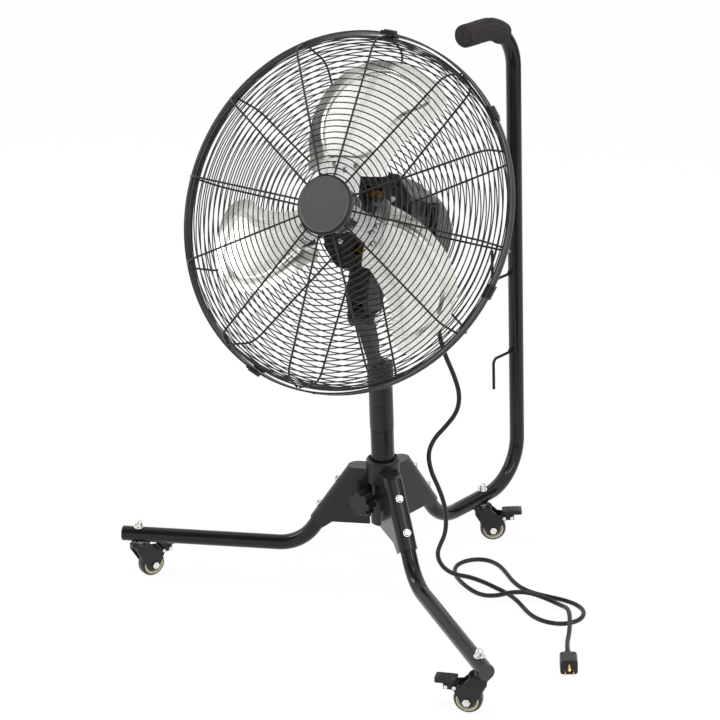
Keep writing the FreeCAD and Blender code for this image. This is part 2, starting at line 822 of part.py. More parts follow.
def make_clamp_knob():
    """Lobed knob whose stud passes the sleeve wall and bears on the column."""
    place = along(0, -size("knob_reach"), size("knob_height"), -Y_AXIS)
    pieces = [cylinder("knob_core", "knob_core / 2", "knob_thick", place)]
    lobes = 7
    for number in range(lobes):
        spot = turn(Z_AXIS, 360.0 * number / lobes) * shift(size("knob_lobe_ring"), 0, 0)
        pieces.append(cylinder("knob_lobe_%d" % number, "knob_lobe / 2", "knob_thick", place * spot))
    tip = size("column_od / 2 + air_gap + slide_gap")
    pieces.append(cylinder("knob_stud", "stud_dia / 2", size("knob_reach") - tip + 4.0,
                           along(0, -tip, size("knob_height"), -Y_AXIS)))
    pieces.append(cylinder("knob_boss", "stud_dia", "7", along(0, -size("knob_reach - 6"), size("knob_height"),
                                                             -Y_AXIS)))
    node("clamp_knob", joined("clamp_knob_joined", pieces))


# Column and neck


def make_column():
    wall = "column_wall"
    turned("column_tube", "Z", [
        ("column_od / 2 - " + wall, "column_bottom"),
        ("column_od / 2", "column_bottom"),
        ("column_od / 2", "column_shoulder"),
        ("column_spigot / 2", "column_shoulder"),
        ("column_spigot / 2", "spigot_top"),
        ("column_spigot / 2 - " + wall, "spigot_top"),
        ("column_spigot / 2 - " + wall, "column_shoulder - 4"),
        ("column_od / 2 - " + wall, "column_shoulder - 8"),
    ])
    bore = "column_spigot / 2 + weld_gap"
    low = "column_shoulder + weld_gap"
    high = "socket_bottom - air_gap / 2"
    edge = "sleeve_ring_od / 2"
    turned("column_sleeve", "Z", [
        (bore, low),
        (edge + " - 1", low),
        (edge, low + " + 1"),
        (edge, high + " - 1"),
        (edge + " - 1", high),
        (bore, high),
    ])


def neck_side():
    """Side outline of the neck's arm: a curved back that flares into the socket, and a straight front."""
    foot = size("neck_foot")
    low = size("socket_top - neck_sink")
    flare = size("socket_top - 2")
    waist = size("neck_waist_height")
    waist_back = -size("neck_waist_reach - neck_waist_deep / 2")
    waist_front = waist_back - size("neck_waist_deep")
    pivot = -size("pivot_reach")
    lug = 0.8 * size("lug_dia / 2")
    level = size("pivot_height")
    across = foot - waist_back
    rise = waist - flare
    radius = (across * across + rise * rise) / (2 * rise)
    turned_by = math.asin(min(across / radius, 1.0)) / 2
    middle = vec(0, foot - radius * math.sin(turned_by), flare + radius * (1 - math.cos(turned_by)))
    corners = [vec(0, waist_back, waist), vec(0, pivot + lug, level), vec(0, pivot - lug, level),
               vec(0, waist_front, waist), vec(0, -foot, low), vec(0, foot, low), vec(0, foot, flare)]
    edges = [Part.LineSegment(one, two) for one, two in zip(corners, corners[1:])]
    edges.append(Part.Arc(corners[-1], middle, corners[0]))
    return Part.Face(Part.Wire([edge.toShape() for edge in edges]))


def make_neck():
    """Socket that turns on the column's spigot, with the slim arm that carries the tilt lug."""
    bore = "column_spigot / 2 + slide_gap"
    lower = "socket_od / 2"
    upper = "socket_ring_od / 2"
    socket = turned("neck_socket_shell", "Z", [
        (bore, "socket_bottom"),
        (lower, "socket_bottom"),
        (lower, "socket_ring_bottom"),
        (upper, "socket_ring_bottom + 3"),
        (upper, "socket_top - 6", "6", -1),
        (upper + " - 6", "socket_top"),
        ("0", "socket_top"),
        ("0", "spigot_top + air_gap"),
        (bore, "spigot_top + air_gap"),
    ])
    del NODES["neck_socket_shell"]
    half_wide = size("neck_width / 2")
    arm = neck_side().extrude(vec(2 * half_wide, 0, 0))
    arm.translate(vec(-half_wide, 0, 0))
    arm_thing = doc.addObject("Part::Feature", "neck_arm")
    arm_thing.Shape = arm
    reach = size("pivot_reach")
    height = size("pivot_height")
    lug = cylinder("neck_lug", "lug_dia / 2", "neck_width", along(-half_wide, -reach, height, X_AXIS))
    whole = joined("neck_whole", [socket, arm_thing, lug])
    hole = cylinder("neck_pin_hole", "tilt_pin / 2 + run_gap", "neck_width * 2",
                    along(-2 * half_wide, -reach, height, X_AXIS))
    node("neck_socket", without("neck_socket", whole, [hole]), NECK)


def make_tilt():
    """Yoke under the motor: two plates beside the lug, a saddle block, and the bolt they turn on."""
    back = size("pivot_back")
    drop = -size("pivot_drop")
    inner = size("neck_width / 2 + air_gap")
    plate = size("tilt_plate")
    lug = size("lug_dia / 2")
    step = size("saddle_step")
    saddle_low = drop + lug + step
    saddle_high = -size("motor_half_high") - size("weld_gap")
    deep = size("saddle_deep")
    nose = size("saddle_nose")
    plates = []
    for sign in (-1, 1):
        start = inner if sign > 0 else -inner - plate
        round_end = Part.makeCylinder(lug * 1.06, plate, vec(start, back, drop), X_AXIS)
        points = [vec(start, back - lug, drop), vec(start, back + lug, drop),
                  vec(start, back + deep - step, saddle_low + step),
                  vec(start, back - deep - nose, saddle_low + step)]
        web = Part.Face(Part.makePolygon(points + points[:1])).extrude(vec(plate, 0, 0))
        plates.append(round_end.fuse(web))
    half = inner + plate
    block_points = [vec(-half, back - deep - nose, saddle_low), vec(-half, back + deep - step, saddle_low),
                    vec(-half, back + deep + step, saddle_high),
                    vec(-half, back - deep - nose - 2 * step, saddle_high)]
    saddle = Part.Face(Part.makePolygon(block_points + block_points[:1])).extrude(vec(2 * half, 0, 0))
    corners = [edge for edge in saddle.Edges if edge.BoundBox.XLength < TINY and edge.BoundBox.ZLength > step]
    saddle = saddle.makeFillet(size("saddle_round"), corners)
    yoke = saddle.fuse(plates)
    pin_hole = Part.makeCylinder(size("tilt_pin / 2 + weld_gap"), 4 * half, vec(-2 * half, back, drop), X_AXIS)
    shaped("tilt_arm", yoke.cut(pin_hole).removeSplitter(), HEAD)

    place = along(-half, back, drop, X_AXIS)
    reach = 2 * half
    pieces = [
        cylinder("tilt_shank", "tilt_pin / 2", reach, place),
        prism("tilt_hex", 6, "tilt_head / 2", "tilt_head_high", place * shift(0, 0, -size("tilt_head_high"))),
        prism("tilt_nut", 6, "tilt_head / 2", "tilt_head_high", place * shift(0, 0, reach)),
    ]
    node("tilt_bolt", joined("tilt_bolt_joined", pieces), HEAD)


# Motor


def frame_corners(grow):
    """The motor frame's eight-sided outline, grown by a sheet expression all round."""
    wide = "(motor_half_wide + %s)" % grow
    high = "(motor_half_high + %s)" % grow
    cut = "(motor_corner + %s * %.5f)" % (grow, math.tan(math.radians(22.5)))
    corners = []
    for across, up, along_first in ((1, 1, False), (-1, 1, True), (-1, -1, False), (1, -1, True)):
        upright = ("%d * %s" % (across, wide), "%d * (%s - %s)" % (up, high, cut))
        level = ("%d * (%s - %s)" % (across, wide, cut), "%d * %s" % (up, high))
        corners.extend([level, upright] if along_first else [upright, level])
    return corners


def make_motor_frame():
    """Front end bell with its windows, and the shell behind it."""
    seat = "bearing_od / 2 + weld_gap"
    front_back = "-(motor_front + bell_thick)"
    bell = padded("motor_front_bell", "XZ_Plane", front_back, "bell_thick", frame_corners("0"), (), HEAD)
    window = [("window_inner", "-window_half"), ("window_outer", "-window_half", "window_outer", -1),
              ("window_outer", "window_half"), ("window_inner", "window_half")]
    pocketed(bell, "bell_window", "XZ_Plane", front_back, "bell_thick * 2", window, (), 4)
    pocketed(bell, "bell_seat", "XZ_Plane", front_back, "bell_thick", (), [("0", "0", seat)])
    pocketed(bell, "bell_screw_holes", "XZ_Plane", front_back, "bell_thick * 2", (),
             [("screw_ring * 0.7071", "screw_ring * 0.7071", "screw_shank / 2 + slide_gap")], 4)

    back = "-(shell_back)"
    long = "shell_back - motor_front - bell_thick - weld_gap"
    shell = padded("motor_shell", "XZ_Plane", back, long, frame_corners("0"), (), HEAD)
    deep = "-(shell_back - shell_wall - bearing_long)"
    pocketed(shell, "shell_room", "XZ_Plane", deep, "shell_back", frame_corners("-1 * shell_wall"))
    pocketed(shell, "shell_seat", "XZ_Plane", "-(shell_back - shell_wall)", "shell_back", (),
             [("0", "0", seat)])
    pocketed(shell, "shell_knob_hole", "YZ_Plane", "0", "motor_half_wide * 2", (),
             [("speed_back", "speed_up", "speed_stem / 2 + run_gap")])


def make_motor_insides():
    """Stator ring, coil heads at both ends of it, rotor on its shaft, and the two bearings."""
    turned("motor_stator", "Y", [
        ("stator_bore / 2", "stator_front"),
        ("stator_od / 2", "stator_front"),
        ("stator_od / 2", "stator_back"),
        ("stator_bore / 2", "stator_back"),
    ], HEAD)
    coils = []
    bundles = 8
    thick = size("coil_thick / 2")
    front_spot = size("stator_front") - size("weld_gap")
    back_spot = size("stator_back") + size("weld_gap")
    for spot, sign in ((front_spot, -1), (back_spot, 1)):
        ring = Part.makeTorus(size("coil_ring"), thick, vec(0, spot, 0), Y_AXIS)
        reach = size("stator_od")
        half = Part.makeBox(2 * reach, thick * 0.8, 2 * reach,
                            vec(-reach, spot if sign > 0 else spot - thick * 0.8, -reach))
        ring = ring.common(half)
        gaps = []
        slit = size("coil_slit")
        corner = vec(size("coil_ring") + 0.25 * thick, spot - 2 * thick, -slit / 2)
        for number in range(bundles):
            gap = Part.makeBox(2 * thick, 4 * thick, slit, corner)
            gap.Placement = turn(Y_AXIS, 360.0 * (number + 0.5) / bundles).multiply(gap.Placement)
            gaps.append(gap)
        coils.append(ring.cut(gaps))
    shaped("motor_windings", Part.makeCompound(coils), HEAD)

    rotor = size("stator_bore / 2") - 2 * size("air_gap")
    end = size("shell_back - shell_wall")
    turned("motor_rotor", "Y", [
        ("0", "shaft_front"),
        ("shaft_dia / 2 - 1", "shaft_front"),
        ("shaft_dia / 2", "shaft_front + 1"),
        ("shaft_dia / 2", "stator_front"),
        (rotor, "stator_front"),
        (rotor, "stator_back"),
        ("shaft_dia / 2", "stator_back"),
        ("shaft_dia / 2", end),
        ("0", end),
    ], HEAD)
    rings = []
    bell_spot = size("motor_front + bell_thick - bearing_long")
    shell_spot = size("shell_back - shell_wall - bearing_long") + size("weld_gap")
    for spot in (bell_spot, shell_spot):
        outer = Part.makeCylinder(size("bearing_od / 2"), size("bearing_long") - size("weld_gap"),
                                  vec(0, spot, 0), Y_AXIS)
        inner = Part.makeCylinder(size("shaft_dia / 2 + weld_gap"), 2 * size("bearing_long"),
                                  vec(0, spot - 1, 0), Y_AXIS)
        rings.append(outer.cut(inner))
    shaped("motor_bearings", Part.makeCompound(rings), HEAD)


def make_rear_cover():
    front = "shell_back + weld_gap"
    wall = "cover_wall"
    outer = "cover_radius"
    bend = "cover_round"
    turned("rear_cover", "Y", [
        (outer + " - " + wall, front),
        (outer, front),
        (outer, "cover_back - " + bend, bend, -1),
        (outer + " - " + bend, "cover_back"),
        ("0", "cover_back"),
        ("0", "cover_back - " + wall),
        (outer + " - " + bend, "cover_back - " + wall, bend + " - " + wall, 1),
        (outer + " - " + wall, "cover_back - " + bend),
    ], HEAD)


def make_motor_screws():
    """Pan-head screws that hold the front bell to the shell."""
    solids = []
    spot = size("screw_ring") * math.sqrt(0.5)
    face = size("motor_front")
    high = size("screw_head_high")
    wide = size("screw_slot")
    deep = size("screw_slot_deep")
    long = size("screw_slot_long")
    for across, up in ((1, 1), (1, -1), (-1, 1), (-1, -1)):
        shank = Part.makeCylinder(size("screw_shank / 2"), size("bell_thick + screw_bite"), vec(0, 0), Y_AXIS)
        head = Part.makeCylinder(size("screw_head / 2"), high, vec(0, -high, 0), Y_AXIS)
        crown = [edge for edge in head.Edges if edge.BoundBox.YMax < -high + TINY]
        head = head.makeFillet(size("screw_crown"), crown)
        slot = Part.makeBox(wide, deep, long, vec(-wide / 2, -high - TINY, -long / 2)).fuse(
            Part.makeBox(long, deep, wide, vec(-long / 2, -high - TINY, -wide / 2)))
        screw = shank.fuse(head.cut(slot)).removeSplitter()
        screw.translate(vec(across * spot, face, up * spot))
        solids.append(screw)
    shaped("motor_screws", Part.makeCompound(solids), HEAD)


def make_speed_knob():
    """Round knob with a pointer rib on a stem that enters the motor shell's right side."""
    wall = size("motor_half_wide")
    spot = along(wall + size("air_gap"), size("speed_back"), size("speed_up"), X_AXIS)
    reach = size("speed_high")
    pieces = [
        cylinder("speed_skirt", "speed_dia / 2", "speed_skirt_high", spot),
        cylinder("speed_cap", "speed_dia / 2 - speed_inset", "speed_high", spot),
        block("speed_rib", "speed_dia - 2 * speed_rib_inset", "speed_rib_wide", "speed_high",
              spot * shift(size("speed_rib_inset - speed_dia / 2"), -size("speed_rib_wide / 2"),
                           size("speed_rib_rise"))),
        cylinder("speed_shaft", "speed_stem / 2", "speed_high",
                 spot * shift(0, 0, -reach + size("speed_skirt_high"))),
    ]
    node("speed_knob", joined("speed_knob_joined", pieces), HEAD)


# Fan


def blade_frame(number):
    """Upright blade frame: X across the blade, Z out along it; Y runs backwards."""
    angle = size("blade_first") + 360.0 * number / BLADES
    return turn(Y_AXIS, 90.0 - angle)


def blade_pitch(out):
    share = (out - size("spider_reach")) / size("blade_tip - spider_reach")
    share = min(max(share, 0.0), 1.0)
    return math.tan(math.radians(size("pitch_root") + share * size("pitch_tip - pitch_root")))


def blade_back(across, out):
    """How far back the blade's front face lies at a point of it."""
    middle = 0.16 * size("blade_tip")
    half = 0.4 * size("blade_tip")
    hollow = size("camber") * max(1.0 - ((across - middle) / half) ** 2, 0.0)
    share = min(max((out - size("spider_reach")) / size("spider_reach"), 0.0), 1.0)
    return size("blade_mid") + across * blade_pitch(out) + hollow * share


def sheet_solid(rows, thick):
    """A curved sheet through rows of points, thickened backwards."""
    surface = Part.BSplineSurface()
    surface.interpolate(rows)
    return surface.toShape().extrude(vec(0, thick, 0))


def blade_solid():
    """One paddle blade: a curved sheet cut to the blade's outline, with its rivet holes."""
    tip = size("blade_tip")
    rows = []
    for out in [tip * share for share in (0.2, 0.3, 0.42, 0.55, 0.7, 0.85, 1.0)]:
        rows.append([vec(across * tip, blade_back(across * tip, out), out)
                     for across in (-0.28, -0.16, -0.04, 0.1, 0.24, 0.38, 0.5, 0.6)])
    curved = sheet_solid(rows, size("blade_thick"))
    spots = [vec(across * tip, 0, out * tip) for across, out in BLADE_OUTLINE]
    edge = Part.BSplineCurve()
    edge.interpolate(spots)
    border = Part.Wire([edge.toShape(), Part.LineSegment(spots[-1], spots[0]).toShape()])
    deep = size("blade_tip")
    cutter = Part.Face(border).extrude(vec(0, 2 * deep, 0))
    cutter.translate(vec(0, -deep, 0))
    hole = size("rivet_dia / 2 + weld_gap")
    holes = [Part.makeCylinder(hole, 2 * deep, vec(across, -deep, out), Y_AXIS) for across, out in RIVET_SPOTS]
    return curved.common(cutter).cut(holes), holes


RIVET_SPOTS = ((2.0, 63.5), (-12.0, 71.0), (16.0, 71.0))


def make_fan():
    """Three paddle blades riveted to a sheet spider on the motor shaft."""
    thick = size("blade_thick")
    spider_thick = size("spider_thick")
    blade, holes = blade_solid()
    half = size("spider_half")
    inner = 0.6 * size("spider_disc")
    reach = size("spider_reach")
    lift = size("spider_thick + 2 * air_gap")
    arm_rows = []
    for far, wide in ((0.0, 1.0), (0.35, 1.0), (0.7, 1.0), (1.0, 0.72)):
        out = inner + far * (reach - inner)
        arm_rows.append([vec(share * wide * half, blade_back(share * wide * half, out) - lift, out)
                         for share in (-1.0, 0.0, 1.0)])
    arm = sheet_solid(arm_rows, spider_thick)
    front = size("blade_mid") - lift
    disc = Part.makeCylinder(size("spider_disc"), spider_thick, vec(0, front, 0), Y_AXIS)
    hub = Part.makeCylinder(size("hub_dia / 2"), size("hub_back - hub_front"),
                            vec(0, size("hub_front"), 0), Y_AXIS)
    deep = size("motor_front")
    bore = Part.makeCylinder(size("shaft_dia / 2 + weld_gap"), 2 * deep, vec(0, -deep, 0), Y_AXIS)
    head_high = size("rivet_head_high")
    stand = size("rivet_stand")
    arms = []
    rivets = []
    for number in range(BLADES):
        spin = blade_frame(number)
        shaped("blade_%d" % (number + 1), blade.copy(), HEAD * spin)
        turned_arm = arm.cut(holes)
        turned_arm.Placement = spin
        arms.append(turned_arm)
        for across, out in RIVET_SPOTS:
            back = blade_back(across, out)
            near = back - lift - stand
            far = back + thick + stand
            shank = Part.makeCylinder(size("rivet_dia / 2"), far - near, vec(across, near, out), Y_AXIS)
            front_head = Part.makeCone(size("rivet_head * 0.3"), size("rivet_head / 2"), head_high,
                                       vec(across, near - head_high, out), Y_AXIS)
            back_head = Part.makeCone(size("rivet_head / 2"), size("rivet_head * 0.3"), head_high,
                                      vec(across, far, out), Y_AXIS)
            rivet = shank.fuse([front_head, back_head]).removeSplitter()
            rivet.Placement = spin
            rivets.append(rivet)
    spider = disc.fuse(arms + [hub]).cut(bore).removeSplitter()
    shaped("blade_spider", spider, HEAD)
    shaped("blade_rivets", Part.makeCompound(rivets), HEAD)

    high = size("hub_nut_high")
    nut = prism("hub_nut_hex", 6, "hub_nut_wide / 2", "hub_nut_high",
                along(0, size("hub_front") - high - size("weld_gap"), 0, Y_AXIS))
    drilled = without("hub_nut", nut, [cylinder("hub_nut_bore", "shaft_dia / 2 + weld_gap", "4 * hub_nut_high",
                                                along(0, size("hub_front") - 2 * high, 0, Y_AXIS))])
    node("hub_nut", drilled, HEAD)


# Guard


def guard_path(hub, hub_station, shoulder_station, rim_station):
    """Half section of a guard from its middle to the rim, as (radius, station) in the X-Y plane."""
    rim = size("rim_radius - rim_sheet - spoke_wire / 2") - size("air_gap")
    shoulder = size("rim_radius - shoulder_inset")
    points = [vec(hub, hub_station), vec(shoulder, shoulder_station), vec(rim, rim_station)]
    return bent_path(points, [size("shoulder_bend")])


def wire_ring(radius, station):
    """A ring of wire round the Y axis, its section drawn with RING_SIDES sides."""
    thick = size("ring_wire / 2")
    corners = []
    for number in range(RING_SIDES + 1):
        angle = 2.0 * math.pi * number / RING_SIDES
        corners.append(vec(radius + thick * math.cos(angle), station + thick * math.sin(angle)))
    return Part.Face(Part.makePolygon(corners)).revolve(vec(0, 0), Y_AXIS, 360.0)


def guard_wires(path, inward):
    """Spokes along the half section and rings welded to their blade side, inward being 1 or -1 along Y."""
    spoke = rod(path, size("spoke_wire / 2"))
    wires = []
    for number in range(SPOKES):
        copy = spoke.copy()
        copy.Placement = turn(Y_AXIS, size("spoke_phase") + 360.0 * number / SPOKES)
        wires.append(copy)
    away = size("spoke_wire / 2 + ring_wire / 2 + weld_gap")
    count = int(size("(%f - ring_pitch) / ring_pitch" % path.Length))
    steps = 4
    spots = path.discretize(Number=count * steps + 1)
    for number in range(1, count + 1):
        here = spots[number * steps]
        step = (here - spots[number * steps - 1]).normalize()
        square = vec(-step.y, step.x)
        if square.y * inward < 0:
            square = -square
        spot = here + square * away
        wires.append(wire_ring(spot.x, spot.y))
    return wires


def make_guards():
    front = guard_path(size("front_hub"), -size("front_depth"), -size("front_shoulder"), -4.0)
    shaped("front_guard", Part.makeCompound(guard_wires(front, 1)), HEAD)

    rear = guard_path(size("rear_hub"), size("rear_depth"), size("rear_shoulder"), 4.0)
    wires = guard_wires(rear, -1)
    plate_front = size("motor_front") - size("weld_gap") - size("plate_thick")
    plate = Part.makeCylinder(size("plate_outer"), size("plate_thick"), vec(0, plate_front, 0), Y_AXIS)
    plate = plate.cut(Part.makeCylinder(size("plate_inner"), 10.0, vec(0, plate_front - 5.0, 0), Y_AXIS))
    shaped("rear_guard", Part.makeCompound(wires + [plate]), HEAD)

    outer = "rim_radius"
    bead = "rim_bead"
    turned("guard_rim", "Y", [
        (outer + " - rim_sheet", "-rim_half"),
        (outer + " + " + bead, "-rim_half"),
        (outer + " + " + bead, "-rim_half + 3"),
        (outer, "-rim_half + 4"),
        (outer, "-1"),
        (outer + " - 0.6", "0"),
        (outer, "1"),
        (outer, "rim_half - 4"),
        (outer + " + " + bead, "rim_half - 3"),
        (outer + " + " + bead, "rim_half"),
        (outer + " - rim_sheet", "rim_half"),
    ], HEAD)


def make_clips():
    """Spring clips over the rim, and the small screws between them."""
    solids = []
    thick = size("clip_sheet")
    out = size("rim_radius + rim_bead + weld_gap")
    half = size("rim_half") + size("weld_gap")
    wide = size("clip_wide")
    for angle in CLIP_ANGLES:
        back = Part.makeBox(wide, 2 * half + 2 * thick, thick, vec(-wide / 2, -half - thick, out))
        hook = size("rim_sheet + rim_bead + clip_grip")
        front = Part.makeBox(wide, thick, hook + thick, vec(-wide / 2, -half - thick, out - hook))
        rear = Part.makeBox(wide, thick, hook + thick, vec(-wide / 2, half, out - hook))
        latch = Part.makeCylinder(size("clip_latch / 2"), 0.9 * wide, vec(-0.45 * wide, 0, out + thick),
                                  X_AXIS)
        rim_room = Part.makeCylinder(out, 2 * half, vec(0, -half, 0), Y_AXIS)
        clip = back.fuse([front, rear, latch]).cut(rim_room).removeSplitter()
        clip.Placement = turn(Y_AXIS, 90.0 - angle)
        solids.append(clip)
    for angle in RIM_SCREW_ANGLES:
        screw = Part.makeCone(3.6, 2.2, 2.0, vec(0, 0, size("rim_radius + weld_gap")))
        screw.Placement = turn(Y_AXIS, 90.0 - angle)
        solids.append(screw)
    shaped("guard_clips", Part.makeCompound(solids), HEAD)


def make_badge():
    """Plain round cap over the middle of the front guard, with a raised bevelled edge."""
    back = "-(front_depth + spoke_wire / 2 + weld_gap)"
    front = back + " - badge_thick"
    turned("front_badge", "Y", [
        ("0", back),
        ("badge_radius", back),
        ("badge_radius", front + " + 2.5", "2.5", 1),
        ("badge_radius - 2.5", front),
        ("badge_radius - badge_bead", front),
        ("badge_radius - badge_bead - 2.5", front + " + 2"),
        ("0", front + " + 1.2"),
    ], HEAD)


# Casters


def caster_place(side):
    reach = size("rear_caster_reach") if side == "rear" else size("caster_reach")
    around = math.radians(LEG_ANGLES[side])
    spot = shift(reach * math.cos(around), reach * math.sin(around), 0)
    return spot * turn(Z_AXIS, CASTER_HEADINGS[side])


def make_stem(side):
    """Threaded stem through the leg, with its flange below and a washer and dome nut on top."""
    label = "caster_stem_" + side
    top = "leg_height + tube_od / 2 + weld_gap"
    under = "leg_height - tube_od / 2 - weld_gap"
    stem = "stem_dia / 2"
    crown = top + " + washer_thick + nut_high"
    turned(label, "Z", [
        ("0", "crown_bottom + 1"),
        (stem, "crown_bottom + 1"),
        (stem, "fork_top + air_gap"),
        ("stem_flange / 2", "fork_top + air_gap"),
        ("stem_flange / 2", under),
        (stem, under),
        (stem, top),
        ("washer_dia / 2", top),
        ("washer_dia / 2", top + " + washer_thick"),
        ("nut_wide / 2", top + " + washer_thick"),
        ("nut_wide / 2", crown),
        ("dome_radius", crown, "dome_radius", -1),
        ("0", crown + " + dome_radius"),
    ], caster_place(side))


def pedal_pin():
    """Reach and height of the pedal's pin, whose hub clears the tyre by pedal_clear."""
    angle = math.radians(size("pedal_angle"))
    out = size("wheel_radius + pedal_hub + pedal_clear")
    return size("trail") + out * math.cos(angle), size("wheel_radius") + out * math.sin(angle)


def make_fork(side):
    """Swivel housing: race on top, crown, two cheeks down to the axle and ears for the pedal pin."""
    label = "caster_fork_" + side
    place = caster_place(side)
    inner = size("wheel_wide / 2 + cheek_gap")
    thick = size("cheek_thick")
    outer = inner + thick
    trail = size("trail")
    hub = size("wheel_radius")
    top = size("fork_top") - 2.0
    pin_reach, pin_high = pedal_pin()
    ear = size("pedal_ear")
    front = size("race_dia / 2 - cheek_inset")
    foot = size("cheek_foot")
    rise = pin_high + size("pedal_rise")
    side_points = [vec(-front, 0, top), vec(-front, 0, top - foot), vec(trail - foot, 0, hub - 0.7 * foot),
                   vec(trail - 0.4 * foot, 0, hub - foot), vec(trail + 0.5 * foot, 0, hub - 0.9 * foot),
                   vec(trail + 0.9 * foot, 0, hub - 0.2 * foot), vec(pin_reach, 0, pin_high - ear),
                   vec(pin_reach + ear, 0, pin_high - ear / 3), vec(pin_reach + ear, 0, pin_high + ear / 3),
                   vec(pin_reach, 0, rise - ear / 3), vec(pin_reach - foot, 0, rise), vec(front, 0, top)]
    face = Part.Face(Part.makePolygon(side_points + side_points[:1]))
    cheeks = []
    for start in (-outer, inner):
        cheek = face.extrude(vec(0, thick, 0))
        cheek.translate(vec(0, start, 0))
        cheeks.append(cheek)
    crown_low = size("crown_bottom")
    crown_half = size("crown_long / 2")
    crown = Part.makeBox(2 * crown_half, 2 * outer, top - crown_low, vec(-crown_half, -outer, crown_low))
    race_low = size("fork_top - race_high")
    race = Part.makeCylinder(size("race_dia / 2"), size("race_high"), vec(0, 0, race_low))
    fork = crown.fuse(cheeks + [race])
    fork = fork.cut([
        Part.makeCylinder(size("stem_dia / 2 + run_gap"), size("fork_top"), vec(0, 0, crown_low / 2)),
        Part.makeCylinder(size("axle_dia / 2 + weld_gap"), 4 * outer, vec(trail, -2 * outer, hub), Y_AXIS),
        Part.makeCylinder(size("pedal_pin / 2 + run_gap"), 4 * outer,
                          vec(pin_reach, -2 * outer, pin_high), Y_AXIS),
    ]).removeSplitter()
    shaped(label, fork, place)


def make_wheel(side):
    """Tyre on its moulded core, standing upright behind the stem."""
    half = size("wheel_wide / 2")
    centre = caster_place(side) * shift(size("trail"), 0, size("wheel_radius"))
    turned("caster_tyre_" + side, "Y", [
        ("tyre_inner", -half + 1.0),
        ("wheel_radius - 4", -half),
        ("wheel_radius - 1.4", -half + 2.2),
        ("wheel_radius", -half + 5.0),
        ("wheel_radius", half - 5.0),
        ("wheel_radius - 1.4", half - 2.2),
        ("wheel_radius - 4", half),
        ("tyre_inner", half - 1.0),
    ], centre)
    bore = "axle_dia / 2 + run_gap"
    rim = "tyre_inner - weld_gap"
    turned("caster_rim_" + side, "Y", [
        (bore, -half - 0.8),
        ("axle_dia / 2 + 2.4", -half - 0.8),
        ("axle_dia / 2 + 3.0", -half + 2.0),
        (rim + " - 3.2", -half + 2.0),
        (rim + " - 2.2", -half + 0.2),
        (rim, -half + 0.6),
        (rim, half - 0.6),
        (rim + " - 2.2", half - 0.2),
        (rim + " - 3.2", half - 2.0),
        ("axle_dia / 2 + 3.0", half - 2.0),
        ("axle_dia / 2 + 2.4", half + 0.8),
        (bore, half + 0.8),
    ], centre)


def make_axle(side):
    """Hex bolt and nut through both cheeks."""
    label = "caster_axle_" + side
    outer = size("wheel_wide / 2 + cheek_gap + cheek_thick") + size("weld_gap")
    centre = caster_place(side) * along(size("trail"), 0, size("wheel_radius"), Y_AXIS)
    high = size("axle_head_high")
    pieces = [
        cylinder(label + "_shank", "axle_dia / 2", 2 * outer, centre * shift(0, 0, -outer)),
        prism(label + "_head", 6, "axle_head / 2", "axle_head_high", centre * shift(0, 0, -outer - high)),
        prism(label + "_nut", 6, "axle_head / 2", "axle_head_high", centre * shift(0, 0, outer)),
        cylinder(label + "_tail", "axle_dia / 2", "axle_head_high + 1.5", centre * shift(0, 0, outer)),
    ]
    node(label, joined(label + "_joined", pieces))


def make_brake(side):
    """Ribbed pedal over a riveted lever, on its cross pin between the fork's ears."""
    label = "caster_brake_" + side
    inner = size("wheel_wide / 2 + cheek_gap - air_gap")
    outer = size("wheel_wide / 2 + cheek_gap + cheek_thick")
    reach, high = pedal_pin()
    hub = size("pedal_hub")
    rise = size("pedal_rise")
    thick = size("pedal_thick")
    tip = reach + size("pedal_long")
    wide = size("pedal_wide / 2")
    rivet = reach + size("pedal_rivet_gap")
    pin = Part.makeCylinder(size("pedal_pin / 2"), 2 * outer, vec(reach, -outer, high), Y_AXIS)
    boss = Part.makeCylinder(hub, 2 * inner, vec(reach, -inner, high), Y_AXIS)
    lever = Part.makeBox(rivet + hub - reach, 2 * inner, hub + rise, vec(reach, -inner, high - hub))
    back = reach - size("pedal_ear / 2")
    tread = Part.makeBox(tip - back, 2 * wide, thick, vec(back, -wide, high + rise))
    uprights = [edge for edge in tread.Edges if edge.BoundBox.ZLength > thick - TINY]
    tread = tread.makeFillet(size("pedal_corner"), uprights)
    head = size("pedal_rivet_head / 2")
    heads = []
    for out in (-1, 1):
        seat = vec(rivet, out * (inner - TINY), high)
        heads.append(Part.makeCone(head, head / 2, head / 2, seat, vec(0, out, 0)))
    pitch = size("pedal_rib_pitch")
    rib = size("pedal_rib")
    first = tip - pitch * (PEDAL_RIBS + 1)
    level = high + rise + thick
    ribs = [Part.makeBox(rib, 2 * wide - pitch, rib, vec(first + pitch * step, pitch / 2 - wide, level))
            for step in range(PEDAL_RIBS)]
    shaped(label, pin.fuse([boss, lever, tread] + heads + ribs).removeSplitter(), caster_place(side))


# Cord and plug


def gland_frame():
    """On the rear cover's skin, Z pointing straight out of it."""
    angle = math.radians(size("gland_angle"))
    out = vec(math.cos(angle), 0, math.sin(angle))
    spot = out * size("cover_radius")
    return HEAD * along(spot.x, size("gland_back"), spot.z, out)


